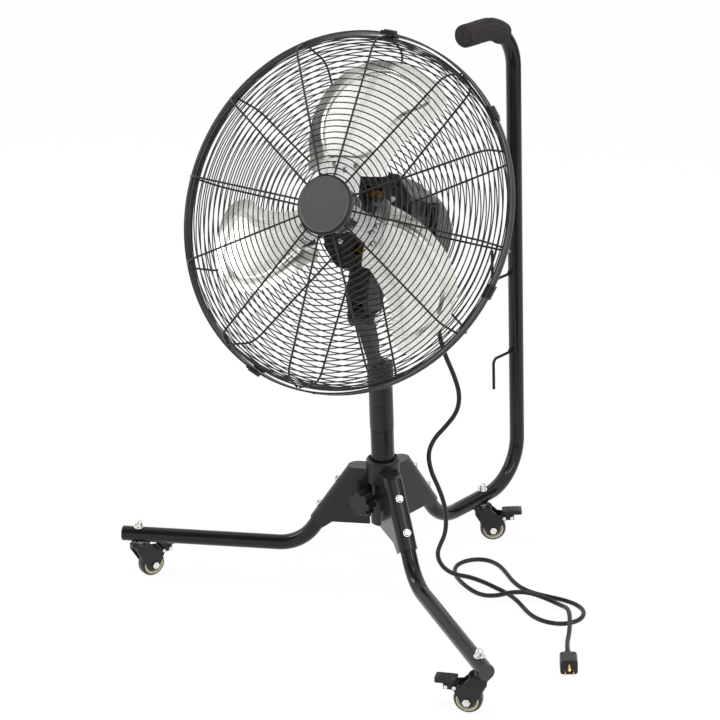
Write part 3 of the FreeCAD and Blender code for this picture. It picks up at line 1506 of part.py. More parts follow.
def make_gland():
    """Tapered, ribbed strain relief with a flange against the rear cover."""
    place = gland_frame()
    dia = size("gland_dia")
    long = size("gland_long")
    cord = size("cord_dia / 2")
    tip = cord + size("gland_lip")
    flange = Part.makeCylinder(size("gland_flange / 2"), size("gland_flange_high"))
    taper = Part.makeCone(dia / 2, tip, long)
    groove = size("gland_groove")
    cuts = []
    for number in range(GLAND_GROOVES):
        level = size("gland_groove_first") + number * size("gland_groove_pitch")
        radius = dia / 2 + (tip - dia / 2) * level / long
        cuts.append(Part.makeTorus(radius + groove / 2, groove, vec(0, 0, level)))
    relief = flange.fuse(taper).cut(cuts)
    skin = Part.makeCylinder(size("cover_radius") + size("weld_gap"), 4 * dia,
                             vec(0, size("gland_back") - 2 * dia, 0), Y_AXIS)
    skin.Placement = (place.inverse() * HEAD).multiply(skin.Placement)
    shaped("cord_gland", relief.cut(skin).removeSplitter(), place)


def make_cord():
    """One unbroken lead from the gland to the plug, lying loose on the floor."""
    points = [vec(*point) for point in CORD_ROUTE]
    end_face = gland_frame().multVec(vec(0, 0, size("gland_long + cord_gap")))
    points[0] = end_face
    radii = []
    for before, corner, after in zip(points, points[1:], points[2:]):
        half_turn = (math.pi - (before - corner).getAngle(after - corner)) / 2
        shorter = min((before - corner).Length, (after - corner).Length)
        radii.append(0.45 * shorter / math.tan(half_turn))
    path = bent_path(points, radii)
    radius = size("cord_dia / 2")
    cord = rod(path, radius)
    ideal = math.pi * radius * radius * path.Length
    print("cord length %.1f  volume ratio %.5f  least radius %.1f"
          % (path.Length, cord.Volume / ideal, min(radii)))
    shaped("power_cord", cord)
    return points[-2], points[-1]


def make_plug(before, end):
    """Moulded three-pin plug lying at the cord's end."""
    way = vec(end.x - before.x, end.y - before.y).normalize()
    angle = math.degrees(math.atan2(way.y, way.x))
    place = shift(end.x, end.y, end.z) * turn(Z_AXIS, angle)
    gap = size("weld_gap")
    relief = Part.makeCone(size("cord_dia / 2 + relief_lip"), size("relief_dia / 2"), size("relief_long"),
                           vec(gap, 0, 0), X_AXIS)
    wide = size("plug_wide")
    high = size("plug_high")
    long = size("plug_long")
    start = size("relief_long") + gap
    body = Part.makeBox(long, wide, high, vec(start, -wide / 2, -high / 2))
    sides = [edge for edge in body.Edges if edge.BoundBox.XLength > long - TINY]
    body = body.makeFillet(size("plug_round"), sides)
    back = [edge for edge in body.Edges if edge.BoundBox.XMax < start + TINY]
    body = body.makeFillet(size("plug_back_round"), back)
    groove = size("relief_groove")
    shrink = size("relief_dia / 2 - cord_dia / 2 - relief_lip") / size("relief_long")
    grooves = []
    for step in range(RELIEF_GROOVES):
        back_off = size("relief_groove_first") + step * size("relief_groove_pitch")
        radius = size("relief_dia / 2") - shrink * back_off
        grooves.append(Part.makeTorus(radius, groove, vec(start - back_off, 0, 0), X_AXIS))
    shell = body.fuse(relief.cut(grooves))
    face = start + long
    seat = size("pin_seat")
    fit = size("weld_gap")
    reach = size("pin_long") + seat
    thick = size("pin_thick")
    deep = size("pin_wide")
    low = -size("pin_drop")
    pins = []
    sockets = []
    for across in (-size("pin_spread / 2"), size("pin_spread / 2")):
        pins.append(Part.makeBox(reach, thick, deep, vec(face - seat, across - thick / 2, low)))
        sockets.append(Part.makeBox(seat + 2 * fit, thick + 2 * fit, deep + 2 * fit,
                                    vec(face - seat - fit, across - thick / 2 - fit, low - fit)))
    round_half = size("ground_dia / 2")
    rise = size("ground_rise")
    ground = Part.makeCylinder(round_half, reach + size("ground_extra"), vec(face - seat, 0, rise), X_AXIS)
    tip = [edge for edge in ground.Edges if edge.BoundBox.XMin > face + size("pin_long")]
    pins.append(ground.makeFillet(size("ground_round"), tip))
    sockets.append(Part.makeCylinder(round_half + fit, seat + 2 * fit, vec(face - seat - fit, 0, rise),
                                     X_AXIS))
    shaped("plug_body", shell.cut(sockets).removeSplitter(), place)
    shaped("plug_pins", Part.makeCompound(pins), place)


def check_and_write():
    """Every feature has to be sound before any piece is written."""
    doc.recompute()
    for thing in doc.Objects:
        if "Invalid" in thing.State or "Error" in thing.State:
            raise RuntimeError("feature failed: %s %s" % (thing.Name, thing.State))
    for label, thing in NODES.items():
        if thing.Shape.isNull() or not thing.Shape.isValid() or thing.Shape.Volume <= 0:
            raise RuntimeError("bad shape: " + label)
    os.makedirs("parts", exist_ok=True)
    for label, thing in NODES.items():
        thing.Shape.exportStep(os.path.join("parts", label + ".step"))
    print("nodes", len(NODES))


make_bracket()
make_collar()
make_clamp_knob()
make_legs()
make_handle()
make_leg_bolts()
make_end_caps()
make_cord_hooks()
for caster in LEG_ANGLES:
    make_stem(caster)
    make_fork(caster)
    make_wheel(caster)
    make_axle(caster)
    make_brake(caster)
make_column()
make_neck()
make_tilt()
make_motor_frame()
make_motor_insides()
make_rear_cover()
make_motor_screws()
make_speed_knob()
make_fan()
make_guards()
make_clips()
make_badge()
make_gland()
make_plug(*make_cord())
check_and_write()
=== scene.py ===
import json
import math

import bpy
from mathutils import Matrix, Vector, noise


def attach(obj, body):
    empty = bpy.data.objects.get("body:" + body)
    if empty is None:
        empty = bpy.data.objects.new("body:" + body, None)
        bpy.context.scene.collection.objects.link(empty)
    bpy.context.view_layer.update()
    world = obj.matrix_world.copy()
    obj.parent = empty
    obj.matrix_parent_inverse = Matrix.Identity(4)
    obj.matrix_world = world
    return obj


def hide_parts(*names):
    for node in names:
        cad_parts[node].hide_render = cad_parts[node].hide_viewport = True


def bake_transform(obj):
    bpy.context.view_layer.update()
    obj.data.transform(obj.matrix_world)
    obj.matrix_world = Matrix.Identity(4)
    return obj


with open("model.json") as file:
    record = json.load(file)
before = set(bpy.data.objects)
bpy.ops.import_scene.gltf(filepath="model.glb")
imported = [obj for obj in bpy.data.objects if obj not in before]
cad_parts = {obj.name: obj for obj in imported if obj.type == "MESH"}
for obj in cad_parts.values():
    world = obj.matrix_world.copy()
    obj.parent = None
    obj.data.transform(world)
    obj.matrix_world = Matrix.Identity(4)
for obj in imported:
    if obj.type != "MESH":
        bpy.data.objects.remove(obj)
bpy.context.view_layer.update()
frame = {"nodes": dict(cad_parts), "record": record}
scene = bpy.context.scene
nodes = frame["nodes"]

# The head's frame: turned with the neck, tilted about its pivot, origin at the blades' centre.
PAN = math.radians(11.5)
TILT = math.radians(26.4)
HEAD = (Matrix.Rotation(PAN, 4, "Z") @ Matrix.Translation((0.0, -0.045, 0.5035))
        @ Matrix.Rotation(-TILT, 4, "X") @ Matrix.Translation((0.0, -0.1253, 0.1427)))
CREASE_ANGLE = 50.0


def add_object(name, data):
    """A new object in the scene."""
    obj = bpy.data.objects.new(name, data)
    scene.collection.objects.link(obj)
    return obj


def add_mesh(name, points, faces, material):
    """A smooth-shaded mesh piece from points and faces."""
    data = bpy.data.meshes.new(name)
    data.from_pydata([tuple(point) for point in points], [], faces)
    data.validate()
    for face in data.polygons:
        face.use_smooth = True
    data.materials.append(material)
    return add_object(name, data)


def grid_faces(rows, sides):
    """Quads between neighbouring rings of points, the rings closed on themselves."""
    return [(row * sides + step, row * sides + (step + 1) % sides,
             (row + 1) * sides + (step + 1) % sides, (row + 1) * sides + step)
            for row in range(rows - 1) for step in range(sides)]


def crease_edges(piece):
    """Sharp shading where the faces meet at more than the crease angle."""
    crease = piece.modifiers.new("edges", "EDGE_SPLIT")
    crease.split_angle = math.radians(CREASE_ANGLE)


# Camera and light

CAMERA_PLACE = Vector((2.2304, -2.5135, 1.7203))
CAMERA_TURNS = (42.12, 21.243, -2.07)  # yaw, pitch and roll in degrees
CAMERA_LENS = 113.15
SENSOR_WIDTH = 36.0
FILL_GREY = 0.55
FLOOR_GREY = 0.92
FLOOR_GLOW_SHARE = 0.86
FLOOR_HALF = 25.0
WHITE_LEVEL = 1.0
FLOOR_LEVEL = 1.06
GLOSSY_EXTRA = 0.35
CARD_GREY = 0.02
HEAD_CENTRE = Vector((-0.03, -0.06, 0.82))
LAMP_AIM = Vector((0.0, 0.0, 0.5))


def add_camera():
    """The photograph's viewpoint."""
    yaw, pitch, roll = (math.radians(value) for value in CAMERA_TURNS)
    back = Vector((math.sin(yaw) * math.cos(pitch), -math.cos(yaw) * math.cos(pitch), math.sin(pitch)))
    right = Vector((math.cos(yaw), math.sin(yaw), 0.0))
    up = back.cross(right)
    across = right * math.cos(roll) + up * math.sin(roll)
    rise = up * math.cos(roll) - right * math.sin(roll)
    data = bpy.data.cameras.new("photo_camera")
    data.sensor_width = SENSOR_WIDTH
    data.lens = CAMERA_LENS
    camera = add_object("photo_camera", data)
    matrix = Matrix((across, rise, back)).transposed().to_4x4()
    matrix.translation = CAMERA_PLACE
    camera.matrix_world = matrix
    scene.camera = camera


def seen_directly(tree):
    """A factor that is 1 for camera, glossy and transmission rays."""
    path = tree.nodes.new("ShaderNodeLightPath")
    first = tree.nodes.new("ShaderNodeMath")
    first.operation = "MAXIMUM"
    tree.links.new(path.outputs["Is Camera Ray"], first.inputs[0])
    tree.links.new(path.outputs["Is Glossy Ray"], first.inputs[1])
    second = tree.nodes.new("ShaderNodeMath")
    second.operation = "MAXIMUM"
    tree.links.new(first.outputs[0], second.inputs[0])
    tree.links.new(path.outputs["Is Transmission Ray"], second.inputs[1])
    return second.outputs[0]


def glow_level(tree, plain, extra):
    """Brightness of the white set, a little higher in glossy surfaces."""
    path = tree.nodes.new("ShaderNodeLightPath")
    level = tree.nodes.new("ShaderNodeMath")
    level.operation = "MULTIPLY_ADD"
    tree.links.new(path.outputs["Is Glossy Ray"], level.inputs[0])
    level.inputs[1].default_value = extra
    level.inputs[2].default_value = plain
    return level.outputs[0]


def add_world():
    """A white surround that lights the set as a softer grey."""
    world = bpy.data.worlds.new("studio")
    world.use_nodes = True
    tree = world.node_tree
    tree.nodes.clear()
    fill = tree.nodes.new("ShaderNodeBackground")
    fill.inputs["Color"].default_value = (FILL_GREY, FILL_GREY, FILL_GREY, 1.0)
    white = tree.nodes.new("ShaderNodeBackground")
    mix = tree.nodes.new("ShaderNodeMixShader")
    out = tree.nodes.new("ShaderNodeOutputWorld")
    white.inputs["Color"].default_value = (1.0, 1.0, 1.0, 1.0)
    tree.links.new(seen_directly(tree), mix.inputs[0])
    tree.links.new(fill.outputs[0], mix.inputs[1])
    tree.links.new(glow_level(tree, WHITE_LEVEL, GLOSSY_EXTRA), white.inputs["Strength"])
    tree.links.new(white.outputs[0], mix.inputs[2])
    tree.links.new(mix.outputs[0], out.inputs[0])
    scene.world = world


def add_floor():
    """A wide pale floor that keeps a soft shadow."""
    material = bpy.data.materials.new("studio_floor")
    material.use_nodes = True
    tree = material.node_tree
    tree.nodes.clear()
    diffuse = tree.nodes.new("ShaderNodeBsdfDiffuse")
    diffuse.inputs["Color"].default_value = (FLOOR_GREY, FLOOR_GREY, FLOOR_GREY, 1.0)
    glow = tree.nodes.new("ShaderNodeEmission")
    share = tree.nodes.new("ShaderNodeMath")
    share.operation = "MULTIPLY"
    share.inputs[1].default_value = FLOOR_GLOW_SHARE
    mix = tree.nodes.new("ShaderNodeMixShader")
    out = tree.nodes.new("ShaderNodeOutputMaterial")
    tree.links.new(seen_directly(tree), share.inputs[0])
    tree.links.new(share.outputs[0], mix.inputs[0])
    tree.links.new(glow_level(tree, FLOOR_LEVEL, GLOSSY_EXTRA), glow.inputs["Strength"])
    tree.links.new(diffuse.outputs[0], mix.inputs[1])
    tree.links.new(glow.outputs[0], mix.inputs[2])
    tree.links.new(mix.outputs[0], out.inputs[0])
    far = FLOOR_HALF
    corners = [(-far, -far, 0), (far, -far, 0), (far, far, 0), (-far, far, 0)]
    add_mesh("studio_floor", corners, [(0, 1, 2, 3)], material)


def add_lamp(name, place, wide, high, power):
    """A soft rectangular lamp."""
    data = bpy.data.lights.new(name, "AREA")
    data.shape = "RECTANGLE"
    data.size = wide
    data.size_y = high
    data.energy = power
    lamp = add_object(name, data)
    way = LAMP_AIM - Vector(place)
    lamp.rotation_euler = way.to_track_quat("-Z", "Y").to_euler()
    lamp.location = place


def add_card(name, corners):
    """A dark card beside the set, seen only in glossy surfaces."""
    material = bpy.data.materials.new(name)
    material.use_nodes = True
    shader = material.node_tree.nodes["Principled BSDF"]
    shader.inputs["Base Color"].default_value = (CARD_GREY, CARD_GREY, CARD_GREY, 1.0)
    card = add_mesh(name, corners, [(0, 1, 2, 3)], material)
    card.visible_camera = False
    card.visible_diffuse = False
    card.visible_shadow = False
    card.visible_transmission = False


def flag_corners(place, wide, high):
    """Corners of a card that faces the fan head."""
    turn = (Vector(place) - HEAD_CENTRE).to_track_quat("Y", "Z")
    across = turn @ Vector((wide / 2, 0, 0))
    rise = turn @ Vector((0, 0, high / 2))
    middle = Vector(place)
    return [middle - across - rise, middle + across - rise,
            middle + across + rise, middle - across + rise]


add_camera()
add_world()
add_floor()
add_lamp("key_light", (-2.3, -1.5, 2.0), 0.35, 1.7, 26.0)
add_lamp("side_light", (2.75, -0.1, 1.6), 0.3, 1.6, 22.0)
add_lamp("top_light", (0.6, -0.8, 2.9), 1.4, 0.5, 18.0)
add_card("front_flag", flag_corners((-0.3, -1.5, 2.05), 1.7, 2.6))
add_card("right_flag", flag_corners((1.5, 2.6, 0.9), 1.6, 2.0))
add_card("floor_flag", [(0.6, -2.4, 0.002), (2.9, -2.4, 0.002), (2.9, 0.1, 0.002), (0.6, 0.1, 0.002)])
scene.view_settings.view_transform = "Standard"


# Materials

def coordinates(tree, stretch):
    """Object coordinates, stretched for grain that runs one way."""
    place = tree.nodes.new("ShaderNodeTexCoord")
    mapping = tree.nodes.new("ShaderNodeMapping")
    mapping.inputs["Scale"].default_value = stretch
    tree.links.new(place.outputs["Object"], mapping.inputs["Vector"])
    return mapping.outputs["Vector"]


def noise_value(tree, where, scale, low, high):
    """Cloudy variation between two values."""
    cloud = tree.nodes.new("ShaderNodeTexNoise")
    cloud.inputs["Scale"].default_value = scale
    cloud.inputs["Detail"].default_value = 5.0
    spread = tree.nodes.new("ShaderNodeMapRange")
    spread.inputs["From Min"].default_value = 0.3
    spread.inputs["From Max"].default_value = 0.7
    spread.inputs["To Min"].default_value = low
    spread.inputs["To Max"].default_value = high
    tree.links.new(where, cloud.inputs["Vector"])
    tree.links.new(cloud.outputs["Fac"], spread.inputs["Value"])
    return spread.outputs["Result"]


def mix_colours(tree, factor, first, second):
    """A colour between two, by a factor."""
    mix = tree.nodes.new("ShaderNodeMix")
    mix.data_type = "RGBA"
    tree.links.new(factor, mix.inputs["Factor"])
    mix.inputs[6].default_value = (*first, 1.0)
    mix.inputs[7].default_value = (*second, 1.0)
    return mix.outputs[2]


def make_material(name, colour, rough, metal=0.0, specular=0.4, tone=0.18, patch=14.0, grain=900.0,
                  depth=0.00004, stretch=(1.0, 1.0, 1.0), edge=0.0, second=None):
    """A finish with cloudy tone, uneven gloss and a fine grain."""
    material = bpy.data.materials.new(name)
    material.use_nodes = True
    tree = material.node_tree
    shader = tree.nodes["Principled BSDF"]
    shader.inputs["Metallic"].default_value = metal
    shader.inputs["Specular IOR Level"].default_value = specular
    where = coordinates(tree, stretch)
    dark = [value * (1.0 - tone) for value in colour]
    light = second or [min(value * (1.0 + tone), 1.0) for value in colour]
    factor = noise_value(tree, where, patch, 0.0, 1.0)
    tree.links.new(mix_colours(tree, factor, dark, light), shader.inputs["Base Color"])
    gloss = noise_value(tree, where, patch * 3.1, rough[0], rough[1])
    tree.links.new(gloss, shader.inputs["Roughness"])
    bump = tree.nodes.new("ShaderNodeBump")
    bump.inputs["Strength"].default_value = 1.0
    bump.inputs["Distance"].default_value = depth
    tree.links.new(noise_value(tree, where, grain, 0.0, 1.0), bump.inputs["Height"])
    if edge:
        bevel = tree.nodes.new("ShaderNodeBevel")
        bevel.samples = 4
        bevel.inputs["Radius"].default_value = edge
        tree.links.new(bevel.outputs["Normal"], bump.inputs["Normal"])
    tree.links.new(bump.outputs["Normal"], shader.inputs["Normal"])
    return material


FINISH = {
    "tube_black": make_material("tube_black", (0.011, 0.011, 0.012), (0.12, 0.2), specular=0.22,
                                depth=0.00001),
    "bracket_black": make_material("bracket_black", (0.02, 0.02, 0.021), (0.14, 0.24), specular=0.22,
                                   depth=0.00001, edge=0.0012),
    "cast_black": make_material("cast_black", (0.012, 0.012, 0.013), (0.34, 0.5), specular=0.3, grain=500.0,
                                depth=0.00012, edge=0.0015),
    "motor_black": make_material("motor_black", (0.013, 0.013, 0.014), (0.34, 0.48), specular=0.32,
                                 grain=600.0, depth=0.00008, edge=0.0015),
    "guard_black": make_material("guard_black", (0.02, 0.018, 0.017), (0.28, 0.4), specular=0.25,
                                 depth=0.00001),
    "rim_grey": make_material("rim_grey", (0.042, 0.042, 0.042), (0.3, 0.42), specular=0.3, depth=0.00002),
    "badge_grey": make_material("badge_grey", (0.085, 0.079, 0.08), (0.36, 0.48), specular=0.4, edge=0.0008,
                                tone=0.08, patch=40.0),
    "black_plastic": make_material("black_plastic", (0.012, 0.012, 0.013), (0.3, 0.44), specular=0.28,
                                   grain=1400.0, depth=0.00004, edge=0.0006),
    "cap_grey": make_material("cap_grey", (0.05, 0.05, 0.05), (0.45, 0.58), specular=0.3, grain=1400.0,
                              depth=0.00004, edge=0.0006),
    "cover_grey": make_material("cover_grey", (0.075, 0.075, 0.078), (0.42, 0.55), specular=0.35,
                                grain=1200.0, depth=0.00008, edge=0.0015),
    "grip_foam": make_material("grip_foam", (0.044, 0.04, 0.038), (0.8, 0.92), specular=0.15, tone=0.3,
                               patch=160.0, grain=1500.0, depth=0.0004),
    "cord_rubber": make_material("cord_rubber", (0.012, 0.012, 0.012), (0.36, 0.5), specular=0.3, patch=60.0,
                                 depth=0.00005),
    "tyre": make_material("tyre", (0.013, 0.013, 0.013), (0.34, 0.48), specular=0.35, patch=120.0,
                          edge=0.0008),
    "zinc": make_material("zinc", (0.62, 0.61, 0.585), (0.2, 0.36), metal=1.0, tone=0.16, patch=220.0,
                          grain=2600.0, edge=0.0004, second=(0.74, 0.72, 0.67)),
    "laminations": make_material("laminations", (0.22, 0.22, 0.23), (0.4, 0.55), metal=1.0, grain=260.0,
                                 depth=0.0003, stretch=(0.1, 1.0, 0.1)),
    "copper": make_material("copper", (0.55, 0.2, 0.06), (0.26, 0.42), metal=1.0, tone=0.35, patch=170.0,
                            second=(0.78, 0.5, 0.12)),
    "spider_steel": make_material("spider_steel", (0.66, 0.68, 0.68), (0.2, 0.32), metal=1.0, tone=0.06,
                                  patch=50.0, grain=1600.0, edge=0.0006),
    "blade_aluminium": make_material("blade_aluminium", (0.8, 0.795, 0.745), (0.24, 0.3), metal=1.0,
                                     tone=0.04, patch=24.0, grain=700.0, depth=0.000002,
                                     stretch=(1.0, 0.3, 0.3)),
    "brass": make_material("brass", (0.72, 0.53, 0.22), (0.2, 0.34), metal=1.0, tone=0.12, patch=300.0,
                           edge=0.0003),
}


# Cord

CORD_DIAMETER = 0.0075
NECK_END = 0.345  # heights where one length of cord ends and the next begins
COLUMN_END = 0.235
CORD_ROUTE = (
    (0.0506, 0.0675, 0.5122), (0.063, 0.063, 0.4975), (0.07, 0.061, 0.4745),
    (0.073, 0.064, 0.4455), (0.078, 0.07, 0.4155), (0.087, 0.079, 0.3835),
    (0.094, 0.085, 0.3495), (0.091, 0.082, 0.3195), (0.077, 0.069, 0.2945),
    (0.062, 0.056, 0.2735), (0.054, 0.049, 0.2475), (0.056, 0.053, 0.2155),
    (0.064, 0.063, 0.1835), (0.069, 0.071, 0.1515), (0.069, 0.074, 0.1235),
    (0.0675, 0.0725, 0.099), (0.06, 0.0685, 0.079), (0.0532, 0.0678, 0.0618),
    (0.0539, 0.0712, 0.0436), (0.0621, 0.0781, 0.0285), (0.0759, 0.0869, 0.02),
    (0.0955, 0.097, 0.0185), (0.118, 0.107, 0.012), (0.14, 0.112, 0.006),
    (0.162, 0.1115, 0.0038), (0.1845, 0.1045, 0.0038), (0.2065, 0.0935, 0.0038),
    (0.229, 0.08, 0.0038), (0.2525, 0.0705, 0.0038), (0.279, 0.0695, 0.0038),
    (0.3045, 0.0815, 0.0038), (0.316, 0.1085, 0.0038), (0.305, 0.136, 0.0038),
    (0.28, 0.1485, 0.0038), (0.2535, 0.1485, 0.0038), (0.228, 0.143, 0.0038),
    (0.201, 0.138, 0.0038), (0.174, 0.1395, 0.0038), (0.147, 0.15, 0.0038),
    (0.1185, 0.1685, 0.0038), (0.091, 0.1845, 0.0038), (0.062, 0.1885, 0.0038),
    (0.0385, 0.1715, 0.0038), (0.0325, 0.1425, 0.0038), (0.0475, 0.1165, 0.0038),
    (0.074, 0.0985, 0.0038), (0.107, 0.0845, 0.0038), (0.1355, 0.0795, 0.0038),
    (0.163, 0.084, 0.009), (0.187, 0.097, 0.019), (0.211, 0.1125, 0.019),
    (0.238, 0.124, 0.011), (0.266, 0.1225, 0.009), (0.29, 0.109, 0.017),
    (0.309, 0.089, 0.019), (0.326, 0.0665, 0.017), (0.341, 0.0435, 0.013),
    (0.3544, 0.0201, 0.0127), (0.3715, -0.0011, 0.013),
)


def spline_points(route):
    """Points along the smooth spline whose control points are the route."""
    data = bpy.data.curves.new("cord_line", "CURVE")
    data.dimensions = "3D"
    data.resolution_u = 8
    spline = data.splines.new("NURBS")
    spline.points.add(len(route) - 1)
    for point, place in zip(spline.points, route):
        point.co = (*place, 1.0)
    spline.order_u = 3
    spline.use_endpoint_u = True
    line = add_object("cord_line", data)
    mesh = bpy.data.meshes.new_from_object(line)
    found = [vertex.co.copy() for vertex in mesh.vertices]
    bpy.data.objects.remove(line)
    bpy.data.meshes.remove(mesh)
    return found


def tube_rings(path, radius, sides):
    """Rings of points square to a path, carried along it without twist."""
    side = None
    rings = []
    for index, place in enumerate(path):
        way = (path[min(index + 1, len(path) - 1)] - path[max(index - 1, 0)]).normalized()
        if side is None:
            side = way.orthogonal().normalized()
        side = (side - way * side.dot(way)).normalized()
        other = way.cross(side)
        radius_here = radius[index] if isinstance(radius, list) else radius
        rings.append([place + (side * math.cos(turn) + other * math.sin(turn)) * radius_here
                      for turn in (2.0 * math.pi * step / sides for step in range(sides))])
    return rings


def add_tube(name, path, radius, material, sides=12):
    """A closed tube along a path, radius given once or for each point."""
    rings = tube_rings(path, radius, sides)
    points = [point for ring in rings for point in ring]
    faces = grid_faces(len(rings), sides)
    faces.append(tuple(reversed(range(sides))))
    last = (len(rings) - 1) * sides
    faces.append(tuple(range(last, last + sides)))
    return add_mesh(name, points, faces, material)


def add_cord():
    """The mains lead in three lengths, cut where its route drops below two heights."""
    line = spline_points(CORD_ROUTE)
    first = next(index for index, point in enumerate(line) if point.z < NECK_END)
    second = next(index for index, point in enumerate(line) if point.z < COLUMN_END)
    plug = [nodes["plug_body"], nodes["plug_pins"]]
    stretches = (
        ("cord_upper", line[:first + 1], ("head", "neck"), "object", "hanging", []),
        ("cord_middle", line[first:second + 1], ("neck", "column"), "object", "hanging", []),
        ("cord_lower", line[second:], ("column", "base"), "plug", "loose", plug),
    )
    for name, path, bodies, far_end, lay, pieces in stretches:
        piece = add_tube(name, path, CORD_DIAMETER / 2.0, FINISH["cord_rubber"])
        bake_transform(piece)
        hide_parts("power_cord")


add_cord()


# Blades

BLADE_TIP = 0.242
SPIDER_REACH = 0.098
BLADE_MID = -0.006
ROOT_PITCH = 30.0
PITCH_FALL = 13.0
BLADE_HOLLOW = 0.006
BLADE_SHEET = 0.0015
PANEL_RISE = 0.0056
PANEL_WALL = 0.0036
LEAD_TURN = math.radians(165.0)
BLADE_ANGLES = (97.0, 217.0, 337.0)
BLADE_MIDDLE = Vector((0.020, 0.150))
BLADE_OUTLINE = (
    (-0.0460, 0.0581), (-0.0520, 0.0799), (-0.0547, 0.1016), (-0.0549, 0.1234), (-0.0528, 0.1452),
    (-0.0479, 0.1646), (-0.0407, 0.1839), (-0.0295, 0.2021), (-0.0131, 0.2190), (0.0085, 0.2314),
    (0.0315, 0.2360), (0.0557, 0.2343), (0.0799, 0.2282), (0.1016, 0.2178), (0.1203, 0.2045),
    (0.1314, 0.1876), (0.1319, 0.1706), (0.1222, 0.1568), (0.1053, 0.1471), (0.0883, 0.1331),
    (0.0726, 0.1133), (0.0605, 0.0932), (0.0525, 0.0750), (0.0484, 0.0581),
)
BLADE_PANEL = (
    (-0.0246, 0.0790), (-0.0300, 0.0980), (-0.0346, 0.1180), (-0.0347, 0.1410), (-0.0296, 0.1620),
    (-0.0210, 0.1810), (-0.0090, 0.1980), (0.0047, 0.2070), (0.0230, 0.2147), (0.0460, 0.2180),
    (0.0640, 0.2130), (0.0840, 0.2030), (0.0990, 0.1906), (0.1080, 0.1805), (0.1030, 0.1716),
    (0.0910, 0.1650), (0.0746, 0.1570), (0.0590, 0.1405), (0.0446, 0.1195), (0.0346, 0.0985),
    (0.0225, 0.0840), (0.0073, 0.0824), (-0.0080, 0.0830), (-0.0190, 0.0793),
)


def smooth_loop(corners, steps):
    """A closed smooth line through corners."""
    count = len(corners)
    found = []
    for index in range(count):
        a, b, c, d = (Vector(corners[(index + offset) % count]) for offset in (-1, 0, 1, 2))
        for step in range(steps):
            t = step / steps
            found.append(0.5 * (2.0 * b + (c - a) * t + (2.0 * a - 5.0 * b + 4.0 * c - d) * t * t
                                + (3.0 * b - a - 3.0 * c + d) * t ** 3))
    return found


def reach_at(loop, turn):
    """How far a closed line lies from the blade's middle in one direction."""
    way = Vector((math.cos(turn), math.sin(turn)))
    best = 0.0
    for first, last in zip(loop, loop[1:] + loop[:1]):
        start = first - BLADE_MIDDLE
        run = last - first
        across = way.x * run.y - way.y * run.x
        if abs(across) < 1e-12:
            continue
        far = (start.x * run.y - start.y * run.x) / across
        share = (start.x * way.y - start.y * way.x) / across
        if far > 0.0 and -1e-9 <= share <= 1.0 + 1e-9:
            best = max(best, far)
    return best


def blade_depth(across, out):
    """The pitched and hollowed sheet's place along the shaft."""
    beyond = out - SPIDER_REACH
    share = min(max(beyond / (BLADE_TIP - SPIDER_REACH), 0.0), 1.0)
    pitch = math.tan(math.radians(ROOT_PITCH - PITCH_FALL * share))
    bow = max(1.0 - ((across - 0.16 * BLADE_TIP) / (0.4 * BLADE_TIP)) ** 2, 0.0)
    return BLADE_MID + across * pitch + BLADE_HOLLOW * bow * min(max(beyond / SPIDER_REACH, 0.0), 1.0)


def lead_roll(beyond, turn):
    """How far the leading flange rolls back, beyond the panel's foot."""
    facing = math.cos(turn - LEAD_TURN)
    share = min(max((facing + 0.15) / 0.5, 0.0), 1.0)
    return 0.36 * share * max(beyond - 0.002, 0.0)


def add_blade(name, angle, node):
    """A pressed blade: a flat flange round a raised panel with a sloped wall."""
    outline = smooth_loop(BLADE_OUTLINE, 5)
    panel = smooth_loop(BLADE_PANEL, 5)
    turns = [math.atan2(point.y - BLADE_MIDDLE.y, point.x - BLADE_MIDDLE.x) for point in outline]
    inner = [reach_at(panel, turn) for turn in turns]
    outer = [(point - BLADE_MIDDLE).length for point in outline]
    rows = []
    raised = PANEL_RISE
    wall = PANEL_WALL
    for share in (1.0, 0.96, 0.66, 0.33):
        rows.append([(foot + wall + (edge - foot - wall) * share, 0.0) for foot, edge in zip(inner, outer)])
    for side, rise in ((1.0, 0.0), (0.6, 0.1), (-0.5, 0.86), (-1.0, 1.0)):
        rows.append([(foot + side * wall, rise * raised) for foot in inner])
    for share in (0.93, 0.8, 0.62, 0.44, 0.26, 0.1):
        rows.append([((foot - wall) * share, raised) for foot in inner])
    count = len(turns)
    sheet = BLADE_SHEET
    points = []
    for thick in (0.0, sheet):
        for row in rows:
            for turn, foot, (reach, lift) in zip(turns, inner, row):
                across = BLADE_MIDDLE.x + reach * math.cos(turn)
                out = BLADE_MIDDLE.y + reach * math.sin(turn)
                roll = lead_roll(reach - foot, turn)
                points.append(Vector((across, blade_depth(across, out) - lift + roll + thick, out)))
    layer = len(rows) * count
    faces = []
    for row in range(len(rows) - 1):
        for step in range(count):
            a, b = row * count + step, row * count + (step + 1) % count
            faces.append((a, a + count, b + count, b))
            faces.append((layer + a, layer + b, layer + b + count, layer + a + count))
    for step in range(count):
        following = (step + 1) % count
        faces.append((step, following, layer + following, layer + step))
    for thick in (0, 1):
        middle = BLADE_MIDDLE
        points.append(Vector((middle.x, blade_depth(middle.x, middle.y) - raised + thick * sheet, middle.y)))
        last = thick * layer + (len(rows) - 1) * count
        for step in range(count):
            corner = (last + step, len(points) - 1, last + (step + 1) % count)
            faces.append(corner if thick == 0 else tuple(reversed(corner)))
    place = HEAD @ Matrix.Rotation(math.radians(90.0 - angle), 4, "Y")
    piece = add_mesh(name, [place @ point for point in points], faces, FINISH["blade_aluminium"])
    crease_edges(piece)
    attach(piece, "fan")
    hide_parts(node)


for number, angle in enumerate(BLADE_ANGLES, 1):
    add_blade("pressed_blade_%d" % number, angle, "blade_%d" % number)


# Grip

